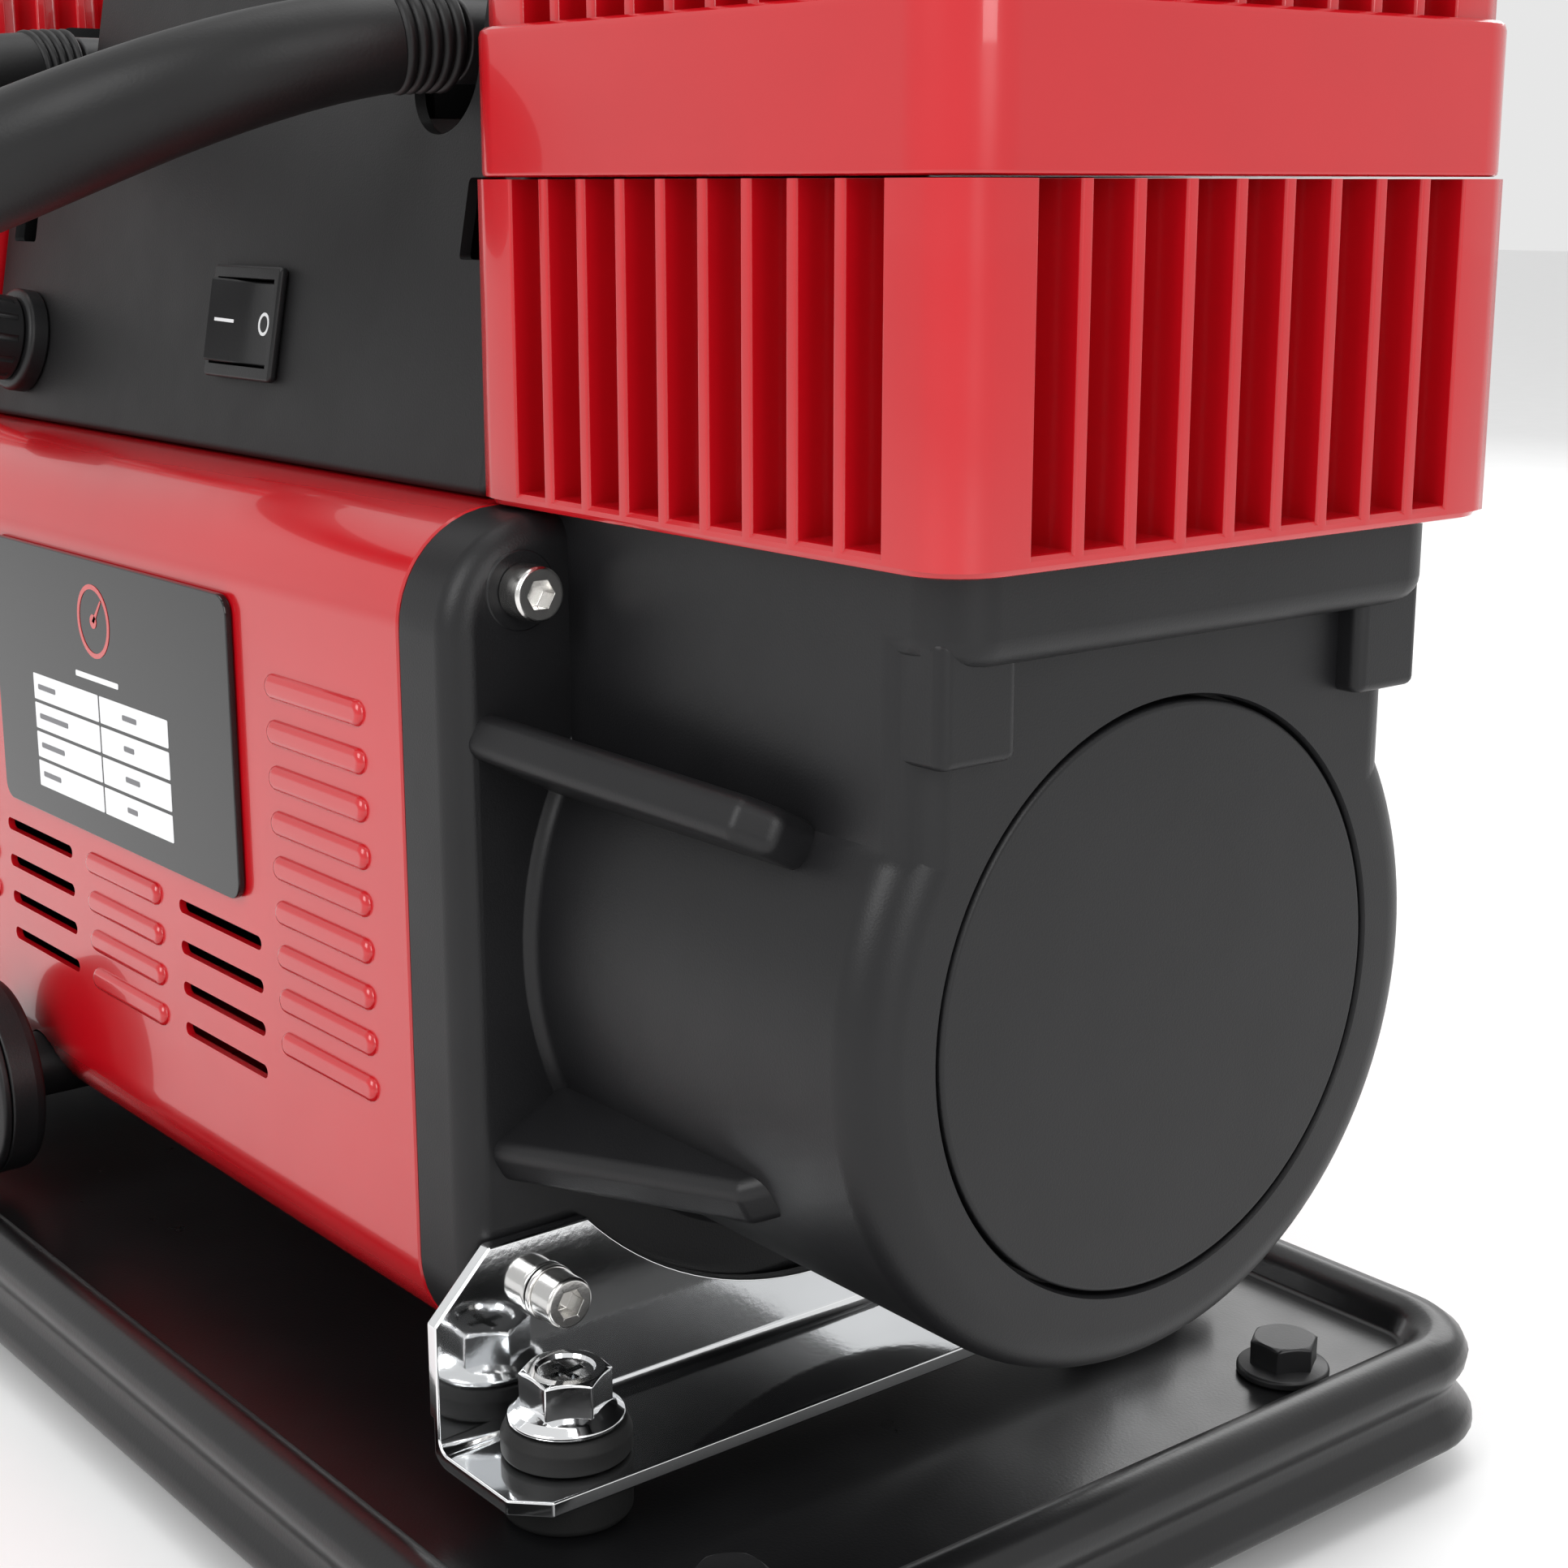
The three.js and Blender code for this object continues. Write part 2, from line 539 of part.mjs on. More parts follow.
// ---- crankcases ---------------------------------------------------------------------------------------
function plateGeometry() {
  const ringAt = (inset, x) =>
    roundedRect(-bodyHalf + inset, bodyBottom + inset, bodyHalf - inset, bodyTop - inset,
      BODY_CORNER - inset)
      .map(([y, z]) => vec(x, y, z));
  return loft([ringAt(0, plateStart), ringAt(0, plateEnd - PLATE_EDGE), ringAt(1.7, plateEnd - 1.6),
    ringAt(PLATE_EDGE, plateEnd)]);
}

function deckGeometry() {
  const bottom = deckTop - DECK_THICKNESS;
  const ringAt = (inset, z) =>
    roundedRect(inset - deckHalf, inset - neckHalf, deckHalf - inset, neckHalf - inset,
      DECK_CORNER)
      .map(([x, y]) => vec(cylinderX + x, y, z));
  return loft([ringAt(DECK_EDGE, bottom), ringAt(DECK_EDGE * 0.3, bottom + 1.6), ringAt(0, bottom + 5),
    ringAt(0, deckTop)]);
}

// A cast rib beside the drum, drawn in (along X, out from the axis) and turned to its angle.
function ribGeometry(angle, points) {
  const turn = THREE.MathUtils.degToRad(angle);
  const out = vec(0, Math.cos(turn), Math.sin(turn));
  const across = vec(0, -Math.sin(turn), Math.cos(turn));
  return new THREE.ExtrudeGeometry(outline(points), { depth: RIB_THICKNESS, bevelEnabled: false })
    .translate(0, 0, -RIB_THICKNESS / 2)
    .applyMatrix4(new THREE.Matrix4().makeBasis(vec(1, 0, 0), out, across))
    .translate(0, 0, SHAFT_HEIGHT);
}

function crankcaseGeometry() {
  const root = plateEnd - 4;
  const inside = DRUM_RADIUS - 8;
  const rib = ({ short, crest, tip }) => [
    [root, inside], [root, DRUM_RADIUS + crest], [drumEnd - short - 6, DRUM_RADIUS + tip],
    [drumEnd - short, DRUM_RADIUS + tip - 5], [drumEnd - short, inside],
  ];
  const upperRib = rib(UPPER_RIB);
  const lowerRib = rib(LOWER_RIB);
  const ribs = [RIB_ANGLE, 180 - RIB_ANGLE].map((angle) => ribGeometry(angle, upperRib));
  const lowRibs = [-RIB_ANGLE, RIB_ANGLE - 180].map((angle) => ribGeometry(angle, lowerRib));
  const drum = turned([
    [0, plateStart + 4], [DRUM_RADIUS, plateStart + 4], [DRUM_RADIUS, drumEnd - DRUM_EDGE],
    [DRUM_RADIUS - 2.4, drumEnd - 2.4], [DRUM_RADIUS - DRUM_EDGE, drumEnd], [0, drumEnd],
  ], 'x', BIG_SIDES).translate(0, 0, SHAFT_HEIGHT);
  const neck = prism(roundedRect(plateStart + 6, -neckHalf, drumEnd, neckHalf, 6, 2),
    SHAFT_HEIGHT, deckTop - DECK_THICKNESS / 2, 'z');
  const padY = neckHalf - PAD_FROM_DECK_SIDE;
  const pads = [-1, 1].map((sign) => prism(
    roundedRect(drumEnd - 6, sign * padY - PAD_HALF_WIDTH, drumEnd + PAD_PROUD, sign * padY + PAD_HALF_WIDTH,
      2, 1),
    deckTop - PAD_BOTTOM, deckTop - DECK_THICKNESS / 2, 'z'));
  const chamber = turned([
    [0, chamberStart], [CHAMBER_RADIUS, chamberStart], [CHAMBER_RADIUS, drumEnd - END_DISC_THICKNESS - GAP],
    [END_DISC_RADIUS + FIT, drumEnd - END_DISC_THICKNESS - GAP], [END_DISC_RADIUS + FIT, drumEnd + 1],
    [0, drumEnd + 1],
  ], 'x', BIG_SIDES).translate(0, 0, SHAFT_HEIGHT);
  const bearingSeat = turned([
    [0, plateStart - 1], [BEARING_RADIUS + FIT, plateStart - 1], [BEARING_RADIUS + FIT, bearingEnd + GAP],
    [SHAFT_RADIUS + 2, bearingEnd + GAP], [SHAFT_RADIUS + 2, chamberStart + 1], [0, chamberStart + 1],
  ], 'x', MID_SIDES).translate(0, 0, SHAFT_HEIGHT);
  const throat = rod(BORE_RADIUS + 1, SHAFT_HEIGHT, deckTop + 1, 'z', BIG_SIDES).translate(cylinderX, 0, 0);
  const screwHoles = [-1, 1].flatMap((sign) => [lowerScrewZ, upperScrewZ].map((z) =>
    hole(SCREW_SHANK_RADIUS, plateEnd - SCREW_DEPTH - GAP, plateEnd + 1, 'x', SMALL_SIDES)
      .translate(0, sign * screwY, z)));
  const casting = join(plateGeometry(), drum, neck, deckGeometry(), ...pads, ...ribs, ...lowRibs);
  return cut(casting, chamber, bearingSeat, throat, ...screwHoles);
}

for (const [side, sign] of sides) {
  add(`crankcase_${side}`, mirrored(crankcaseGeometry(), sign), blackPaint);
  add(`crankcase_cover_${side}`,
    mirrored(rod(END_DISC_RADIUS, drumEnd - END_DISC_THICKNESS, drumEnd, 'x', BIG_SIDES), sign), blackPaint)
    .position.set(0, 0, SHAFT_HEIGHT);
}

// ---- cylinders and heads ------------------------------------------------------------------------------
// A square outline with rounded pillars at its corners and a comb of fins along each side.
function finnedSquare(half) {
  const comb = half - PILLAR_WIDTH;
  const pitch = (2 * comb + FIN_THICKNESS) / (FIN_COUNT + 1);
  const root = half - FIN_DEPTH;
  const side = [];
  for (let i = 1; i <= FIN_COUNT; i++) {
    const centre = -comb - FIN_THICKNESS / 2 + i * pitch;
    side.push([root, centre - FIN_THICKNESS / 2], [half, centre - FIN_THICKNESS / 2]);
    side.push([half, centre + FIN_THICKNESS / 2], [root, centre + FIN_THICKNESS / 2]);
  }
  const pillar = [0, 1, 2, 3].map((i) => {
    const angle = (i / 3) * Math.PI / 2;
    const centre = half - CYLINDER_CORNER;
    return [centre + CYLINDER_CORNER * Math.cos(angle), centre + CYLINDER_CORNER * Math.sin(angle)];
  });
  const quarter = [[half, -comb], [root, -comb], ...side, [root, comb], [half, comb], ...pillar];
  return [0, 1, 2, 3].flatMap((turns) => quarter.map(([u, v]) => {
    const angle = turns * Math.PI / 2;
    return [u * Math.cos(angle) - v * Math.sin(angle), u * Math.sin(angle) + v * Math.cos(angle)];
  }));
}

function cylinderGeometry() {
  const half = CYLINDER_SIDE / 2;
  const barrel = prism(finnedSquare(half), cylinderBase + CYLINDER_LIP / 2, cylinderTop, 'z');
  const lip = prism(roundedRect(-half, -half, half, half, CYLINDER_CORNER, 3),
    cylinderBase, cylinderBase + CYLINDER_LIP, 'z');
  return cut(join(barrel, lip), rod(BORE_RADIUS, cylinderBase - 1, cylinderTop + 1, 'z', BIG_SIDES));
}

// Built about the cylinder's axis, with the delivery port toward the other cylinder.
function headGeometry() {
  const band = prism(roundedRect(-headHalf, -headHalf, headHalf, headHalf, CYLINDER_CORNER + 1, 3),
    headBase, headBandTop, 'z');
  const fins = prism(finnedSquare(headHalf - HEAD_FIN_INSET), headBandTop - 1, headTop, 'z');
  const seatTop = headBase + VALVE_PLATE_THICKNESS + GAP;
  const plateSeat = hole(VALVE_PLATE_RADIUS, headBase - 1, seatTop, 'z', BIG_SIDES);
  const port = hole(PIPE_RADIUS, -headHalf - 1, -headHalf + PIPE_IN_HEAD + GAP, 'x', SMALL_SIDES)
    .translate(0, PIPE_Y, pipeZ);
  return cut(join(band, fins), plateSeat, port);
}

for (const [side, sign] of sides) {
  add(`cylinder_${side}`, cylinderGeometry(), red).position.x = sign * cylinderX;
  add(`head_${side}`, mirrored(headGeometry(), sign), red).position.x = sign * cylinderX;
  add(`valve_plate_${side}`,
    rod(VALVE_PLATE_RADIUS, headBase, headBase + VALVE_PLATE_THICKNESS, 'z', BIG_SIDES), steel)
    .position.x = sign * cylinderX;
}

// ---- motor --------------------------------------------------------------------------------------------
function motorCoverGeometry() {
  const section = (inset) =>
    roundedRect(inset - bodyHalf, bodyBottom + inset, bodyHalf - inset, bodyTop - inset,
      BODY_CORNER - inset, 5);
  const tube = cut(prism(section(0), -coverEnd, coverEnd, 'x'),
    prism(section(COVER_WALL), -coverEnd - 1, coverEnd + 1, 'x'));
  const slots = [-SLOT_COLUMN, SLOT_COLUMN].flatMap((x) => Array.from({ length: SLOT_ROWS }, (_, row) => {
    const z = labelZ - LABEL_HEIGHT / 2 - SLOT_BELOW_LABEL - row * SLOT_PITCH;
    return block(x - SLOT_WIDTH / 2, -bodyHalf - 1, z - SLOT_HEIGHT / 2, x + SLOT_WIDTH / 2, bodyHalf + 1,
      z + SLOT_HEIGHT / 2);
  }));
  const stubHole = hole(FILTER_STUB_RADIUS, 0, bodyHalf + 1, 'y', SMALL_SIDES)
    .translate(FILTER_X, 0, filterZ);
  return cut(tube, ...slots, stubHole);
}

function motorCanGeometry() {
  const end = plateStart - GAP;
  const opening = SHAFT_RADIUS + 2;
  const inner = CAN_RADIUS - CAN_WALL;
  return turned([
    [opening, -end], [CAN_RADIUS, -end], [CAN_RADIUS, end], [opening, end],
    [opening, end - CAN_WALL], [inner, end - CAN_WALL], [inner, CAN_WALL - end], [opening, CAN_WALL - end],
  ], 'x', MID_SIDES);
}

function rotorGeometry() {
  const end = crankEnd - 1;
  const core = ROTOR_CORE_LENGTH / 2;
  return turned([
    [0, -end], [SHAFT_RADIUS, -end], [SHAFT_RADIUS, -core], [ROTOR_CORE_RADIUS, -core],
    [ROTOR_CORE_RADIUS, core], [SHAFT_RADIUS, core], [SHAFT_RADIUS, end], [0, end],
  ], 'x', MID_SIDES);
}

add('motor_cover', motorCoverGeometry(), red);
add('motor_can', motorCanGeometry(), steel).position.z = SHAFT_HEIGHT;
add('rotor', rotorGeometry(), steel).position.z = SHAFT_HEIGHT;
const labelHalf = LABEL_WIDTH / 2;
add('label_plate', prism(
  roundedRect(-labelHalf, labelZ - LABEL_HEIGHT / 2, labelHalf, labelZ + LABEL_HEIGHT / 2, 4, 3),
  bodyHalf + GAP, bodyHalf + GAP + LABEL_THICKNESS, 'y'), labelBlack);

// ---- cranks, bearings and pistons ---------------------------------------------------------------------
// The pin stops just short of the rod's eye: that pivot is left open.
function crankGeometry() {
  const web = turned([
    [SHAFT_RADIUS + FIT, crankStart], [CRANK_WEB_RADIUS, crankStart], [CRANK_WEB_RADIUS, crankEnd],
    [SHAFT_RADIUS + FIT, crankEnd],
  ], 'x', MID_SIDES);
  const pin = rod(CRANK_PIN_RADIUS, crankEnd - 2, rodStart - OPEN_PIVOT_GAP, 'x', SMALL_SIDES)
    .translate(0, -STROKE / 2, 0);
  return join(web, pin);
}

function pistonGeometry() {
  const crown = cylinderTop - STROKE / 2 - PISTON_TOP_CLEARANCE;
  const skirt = crown - PISTON_LENGTH;
  const radius = BORE_RADIUS - PISTON_CLEARANCE;
  const inner = radius - SKIRT_WALL;
  const head = turned([
    [0, skirt + SKIRT_DEPTH], [inner, skirt + SKIRT_DEPTH], [inner, skirt], [radius, skirt], [radius, crown],
    [0, crown],
  ], 'z', BIG_SIDES);
  const half = ROD_THICKNESS / 2;
  const shank = block(-half, -ROD_HALF_WIDTH, SHAFT_HEIGHT + ROD_EYE_RADIUS - 3, half, ROD_HALF_WIDTH,
    skirt + SKIRT_DEPTH + 1);
  const eye = rod(ROD_EYE_RADIUS, -half, half, 'x', SMALL_SIDES).translate(0, 0, SHAFT_HEIGHT);
  const eyeHole = hole(CRANK_PIN_RADIUS, -half - 1, half + 1, 'x', SMALL_SIDES)
    .translate(0, 0, SHAFT_HEIGHT);
  return cut(join(head, shank, eye), eyeHole);
}

for (const [side, sign] of sides) {
  add(`bearing_${side}`, mirrored(turned([
    [SHAFT_RADIUS + FIT, bearingEnd - BEARING_WIDTH], [BEARING_RADIUS, bearingEnd - BEARING_WIDTH],
    [BEARING_RADIUS, bearingEnd], [SHAFT_RADIUS + FIT, bearingEnd],
  ], 'x', MID_SIDES), sign), steel).position.z = SHAFT_HEIGHT;
  add(`crank_${side}`, mirrored(crankGeometry(), sign), steel).position.z = SHAFT_HEIGHT;
  add(`piston_${side}`, pistonGeometry(), aluminium).position.x = sign * cylinderX;
}

// ---- shroud between the heads -------------------------------------------------------------------------
// The space inside the shroud's outline, drawn in by `inset` from its outer faces.
function shroudSpace(inset) {
  const half = shroudHalf - inset;
  const top = shroudTop - inset;
  const radius = SHROUD_SHOULDER - inset;
  const bottom = inset ? shroudBase - 1 : shroudBase;
  const shoulder = (sign, i) => {
    const angle = (i / 7) * Math.PI / 2;
    return [sign * (half - radius + radius * Math.cos(angle)), top - radius + radius * Math.sin(angle)];
  };
  const steps = [0, 1, 2, 3, 4, 5, 6, 7];
  const front = prism([
    [-half, bottom], [half, bottom], ...steps.map((i) => shoulder(1, i)),
    ...steps.map((i) => shoulder(-1, 7 - i)),
  ], -SHROUD_HALF_DEPTH - 1, SHROUD_HALF_DEPTH + 1, 'y');
  const reach = (z) => -frontOfShroud(z) - inset;
  const wedge = prism([
    [-reach(bottom), bottom], [reach(bottom), bottom], [reach(top), top], [-reach(top), top],
  ], -half - 1, half + 1, 'x');
  return common(front, wedge);
}

// Where something sits on the leaning front panel: a group whose -Y looks out of the panel.
function onPanel(x, aboveBase) {
  const group = new THREE.Group();
  const z = shroudBase + aboveBase;
  group.position.set(x, frontOfShroud(z), z);
  group.rotation.x = -lean;
  group.updateMatrix();
  return group;
}

const switchPlace = onPanel(SWITCH_X, SWITCH_ABOVE_BASE);
const glandPlace = onPanel(GLAND_X, GLAND_ABOVE_BASE);
const switchHalfX = BEZEL_WIDTH / 2 - 1.2;
const switchHalfZ = BEZEL_HEIGHT / 2 - 1.2;

function shroudGeometry() {
  const webInner = HANDLE_HALF_WIDTH - HANDLE_SLOT_RADIUS - AXLE_WEB - 1;
  const webs = [-1, 1].map((sign) => {
    const [a, b] = [sign * webInner, sign * (webInner + AXLE_WEB)];
    return block(Math.min(a, b), HANDLE_PIVOT_Y - AXLE_WEB_HALF, slotBottom + 3, Math.max(a, b),
      HANDLE_PIVOT_Y + AXLE_WEB_HALF, shroudTop - 1);
  });
  const shell = cut(shroudSpace(0), shroudSpace(SHROUD_WALL));
  const whole = common(join(shell, ...webs), shroudSpace(0));
  const handleSlots = [-1, 1].flatMap((sign) => {
    const x = sign * HANDLE_HALF_WIDTH;
    const r = HANDLE_SLOT_RADIUS;
    const back = HANDLE_PIVOT_Y + HANDLE_SLOT_RADIUS + 1;
    return [
      block(x - r, -SHROUD_HALF_DEPTH, slotBottom + r, x + r, back, shroudTop),
      rod(r, -back, SHROUD_HALF_DEPTH, 'y', MID_SIDES).translate(x, 0, slotBottom + r),
    ];
  });
  const windows = [-1, 1].map((sign) => {
    const x = sign * (shroudHalf - WINDOW_FROM_SIDE - WINDOW_WIDTH / 2);
    const z = shroudBase + WINDOW_ABOVE_BASE;
    return block(x - WINDOW_WIDTH / 2, -SHROUD_HALF_DEPTH, z, x + WINDOW_WIDTH / 2, -SHROUD_HALF_DEPTH / 2,
      z + WINDOW_HEIGHT);
  });
  const [holeX, holeZ] = [switchHalfX + FIT, switchHalfZ + FIT];
  const switchHole = block(-holeX, -9, -holeZ, holeX, 9, holeZ).applyMatrix4(switchPlace.matrix);
  const glandHole = hole(GLAND_THREAD_RADIUS, -9, 9, 'y', MID_SIDES).applyMatrix4(glandPlace.matrix);
  const pipeHole = hole(PIPE_RADIUS, -shroudHalf - 1, shroudHalf + 1, 'x', SMALL_SIDES)
    .translate(0, PIPE_Y, pipeZ);
  const couplerHole = hole(COUPLER_RADIUS, -SHROUD_HALF_DEPTH - 1, -PIPE_Y - 12, 'y', SMALL_SIDES)
    .translate(0, 0, pipeZ);
  const axleHole = hole(AXLE_RADIUS, -HANDLE_HALF_WIDTH, HANDLE_HALF_WIDTH, 'x', SMALL_SIDES)
    .translate(0, HANDLE_PIVOT_Y, pivotZ);
  return cut(whole, ...handleSlots, ...windows, switchHole, glandHole, pipeHole, couplerHole, axleHole);
}

function pipeGeometry() {
  const end = cylinderX - headHalf + PIPE_IN_HEAD;
  const tee = -PIPE_Y - TEE_LENGTH;
  const tube = join(rod(PIPE_RADIUS, -end, end, 'x', SMALL_SIDES).translate(0, PIPE_Y, 0),
    rod(PIPE_RADIUS + 2, tee, -PIPE_Y, 'y', SMALL_SIDES));
  return cut(tube, rod(PIPE_BORE_RADIUS, -end - 1, end + 1, 'x', SMALL_SIDES).translate(0, PIPE_Y, 0),
    rod(PIPE_BORE_RADIUS, tee - 1, -PIPE_Y, 'y', SMALL_SIDES));
}

function couplerGeometry() {
  const start = PIPE_Y + TEE_LENGTH + GAP;
  const panel = -frontOfShroud(pipeZ) + 3;
  return turned([
    [PIPE_BORE_RADIUS, -start], [PIPE_RADIUS, -start], [COUPLER_RADIUS, -start - 2],
    [COUPLER_RADIUS, -panel], [COUPLER_COLLAR_RADIUS, -panel],
    [COUPLER_COLLAR_RADIUS, -panel - COUPLER_COLLAR_LENGTH],
    [COUPLER_RADIUS, -panel - COUPLER_COLLAR_LENGTH], [COUPLER_RADIUS, -panel - COUPLER_PROUD],
    [PIPE_BORE_RADIUS, -panel - COUPLER_PROUD],
  ], 'y', SMALL_SIDES);
}

add('shroud', shroudGeometry(), blackPaint);
add('delivery_pipe', pipeGeometry(), aluminium).position.z = pipeZ;
add('outlet_coupler', couplerGeometry(), brass).position.z = pipeZ;

// ---- switch and cable gland ---------------------------------------------------------------------------
function bezelGeometry() {
  const [outX, outZ] = [BEZEL_WIDTH / 2, BEZEL_HEIGHT / 2];
  const flange = prism(roundedRect(-outX, -outZ, outX, outZ, 2, 2), GAP, GAP + BEZEL_FLANGE, 'y');
  const can = block(-switchHalfX, -GAP - 1, -switchHalfZ, switchHalfX, SWITCH_DEPTH, switchHalfZ);
  const [halfX, halfZ] = [BEZEL_WIDTH / 2 - BEZEL_RIM, BEZEL_HEIGHT / 2 - BEZEL_RIM - 0.5];
  return cut(join(flange, can), block(-halfX, -9, -halfZ, halfX, SWITCH_DEPTH - 1.5, halfZ));
}

// The rocker is drawn level about its own pivot, then tilted so that its right side is pressed in.
function rockerGeometry() {
  const half = BEZEL_WIDTH / 2 - BEZEL_RIM - 1.6;
  const halfZ = BEZEL_HEIGHT / 2 - BEZEL_RIM - 1;
  const end = ROCKER_PIVOT_DEPTH + 3.5;
  const valley = ROCKER_PIVOT_DEPTH + 1.2;
  const rocker = new THREE.ExtrudeGeometry(outline([
    [-half, -end], [-half * 0.5, -valley - 0.6], [0, -valley], [half * 0.5, -valley - 0.6], [half, -end],
    [half - 0.8, -1], [half * 0.5, 4], [-half * 0.5, 4], [0.8 - half, -1],
  ]), { depth: 2 * halfZ, bevelEnabled: false });
  return rocker.translate(0, 0, -halfZ).rotateZ(THREE.MathUtils.degToRad(ROCKER_TILT))
    .translate(0, ROCKER_PIVOT_DEPTH, 0);
}

function glandGeometry() {
  const collar = GAP + GLAND_COLLAR_LENGTH;
  return turned([
    [GLAND_BORE_RADIUS, -GLAND_INSIDE], [GLAND_THREAD_RADIUS, -GLAND_INSIDE], [GLAND_THREAD_RADIUS, GAP],
    [GLAND_COLLAR_RADIUS, GAP], [GLAND_COLLAR_RADIUS, collar], [GLAND_THREAD_RADIUS, collar],
    [GLAND_THREAD_RADIUS, collar + 3], [GLAND_BORE_RADIUS, collar + 3],
  ], 'y', MID_SIDES);
}

function glandNutGeometry() {
  const start = GLAND_COLLAR_LENGTH + 2 * GAP;
  const end = start + GLAND_NUT_LENGTH;
  const inner = GLAND_THREAD_RADIUS + FIT;
  return turned([
    [inner, start], [inner + 2, start], [inner + 2, end - 4], [inner - 1, end], [GLAND_BORE_RADIUS, end],
    [GLAND_BORE_RADIUS, start + 3.6], [inner, start + 3.6],
  ], 'y', MID_SIDES);
}

compressor.add(switchPlace, glandPlace);
add('switch_bezel', bezelGeometry(), plastic, switchPlace);
add('switch_rocker', rockerGeometry(), plastic, switchPlace);
add('cable_gland', glandGeometry(), plastic, glandPlace);
add('gland_nut', glandNutGeometry(), plastic, glandPlace);

// ---- carrying handle ----------------------------------------------------------------------------------
// The handle's centre line: a half circle seen from above that hangs lower the further out it is.
function bowPoint(t) {
  const angle = t * Math.PI;
  const out = HANDLE_REACH * Math.sin(angle);
  const drop = HANDLE_DROP * (out / HANDLE_REACH) ** 2;
  return vec(HANDLE_HALF_WIDTH * Math.cos(angle), HANDLE_PIVOT_Y - HANDLE_ARM_LENGTH - out, pivotZ - drop);
}

function bowRing(t, radius) {
  const centre = bowPoint(t);
  const step = 0.001;
  const along = bowPoint(t + step).sub(bowPoint(t - step)).normalize();
  const side = vec(0, 0, 1).addScaledVector(along, -along.z).normalize();
  const other = along.clone().cross(side);
  return Array.from({ length: TUBE_SIDES }, (_, i) => {
    const angle = (i / TUBE_SIDES) * 2 * Math.PI;
    return centre.clone().addScaledVector(side, radius * Math.cos(angle))
      .addScaledVector(other, radius * Math.sin(angle));
  });
}

const collarSpan = COLLAR_LENGTH / (Math.PI * HANDLE_REACH);
const bowStations = Array.from({ length: BOW_STEPS + 1 }, (_, i) =>
  BOW_END + collarSpan + ((1 - 2 * collarSpan - 2 * BOW_END) * i) / BOW_STEPS);

function gripGeometry() {
  const bore = HANDLE_CORE_RADIUS + 2 * FIT;
  const radius = (t) => GRIP_END_RADIUS + GRIP_SWELL * Math.sin(t * Math.PI);
  const [first, last] = [bowStations[0], bowStations.at(-1)];
  const ends = [BOW_END, 1 - BOW_END];
  const outer = [
    bowRing(ends[0], COLLAR_RADIUS), bowRing(first, COLLAR_RADIUS),
    ...bowStations.map((t) => bowRing(t, radius(t))),
    bowRing(last, COLLAR_RADIUS), bowRing(ends[1], COLLAR_RADIUS),
  ];
  const inner = [ends[0], ...bowStations, ends[1]].map((t) => bowRing(t, bore)).reverse();
  return loft([...outer, ...inner], true);
}

function handleFrameGeometry() {
  const stations = [0, BOW_END, ...bowStations, 1 - BOW_END, 1];
  const core = loft(stations.map((t) => bowRing(t, HANDLE_CORE_RADIUS)));
  const arms = [-1, 1].flatMap((sign) => {
    const x = sign * HANDLE_HALF_WIDTH;
    const start = -HANDLE_PIVOT_Y;
    const hub = rod(HANDLE_ARM_RADIUS + 1, -HANDLE_ARM_RADIUS, HANDLE_ARM_RADIUS, 'x', SMALL_SIDES)
      .translate(x, HANDLE_PIVOT_Y, pivotZ);
    const arm = rod(HANDLE_ARM_RADIUS, start, start + HANDLE_ARM_LENGTH, 'y', SMALL_SIDES);
    return [hub, arm.translate(x, 0, pivotZ)];
  });
  const axleHole = hole(AXLE_RADIUS, -HANDLE_HALF_WIDTH * 1.5, HANDLE_HALF_WIDTH * 1.5, 'x', SMALL_SIDES)
    .translate(0, HANDLE_PIVOT_Y, pivotZ);
  return cut(join(core, ...arms), axleHole);
}

add('handle_frame', handleFrameGeometry(), blackSteel);
add('handle_grip', gripGeometry(), rubber);
const axleEnd = HANDLE_HALF_WIDTH + HANDLE_ARM_RADIUS;
add('handle_axle', rod(AXLE_RADIUS, -axleEnd, axleEnd, 'x', SMALL_SIDES), steel)
  .position.set(0, HANDLE_PIVOT_Y, pivotZ);

// ---- intake filter ------------------------------------------------------------------------------------
function filterBodyGeometry() {
  const stub = bodyHalf - FILTER_STUB_INSIDE;
  const inner = FILTER_RADIUS - FILTER_WALL;
  const end = filterFace + FILTER_LENGTH;
  return turned([
    [0, stub], [FILTER_STUB_RADIUS, stub], [FILTER_STUB_RADIUS, filterFace], [FILTER_RADIUS - 1, filterFace],
    [FILTER_RADIUS, filterFace + 1.5], [FILTER_RADIUS, end], [inner, end], [inner, filterFace + FILTER_WALL],
    [0, filterFace + FILTER_WALL],
  ], 'y', MID_SIDES);
}

function filterCapGeometry() {
  const face = filterFace + FILTER_LENGTH + GAP;
  return turned([
    [0, face], [FILTER_RADIUS, face], [FILTER_RADIUS, face + FILTER_CAP_THICKNESS - 1],
    [FILTER_RADIUS - 1.5, face + FILTER_CAP_THICKNESS], [0, face + FILTER_CAP_THICKNESS],
  ], 'y', MID_SIDES);
}

add('air_filter_body', filterBodyGeometry(), plastic).position.set(FILTER_X, 0, filterZ);
add('air_filter_cap', filterCapGeometry(), plastic).position.set(FILTER_X, 0, filterZ);

// Standing on the ground, centred over the origin.
const extent = new THREE.Box3().setFromObject(compressor);
compressor.position.y = -(extent.min.y + extent.max.y) / 2;

export default compressor;
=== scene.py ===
"""Looks for a twin-cylinder air compressor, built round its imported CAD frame."""
import json
import math

import bmesh
import bpy
from mathutils import Matrix, Vector


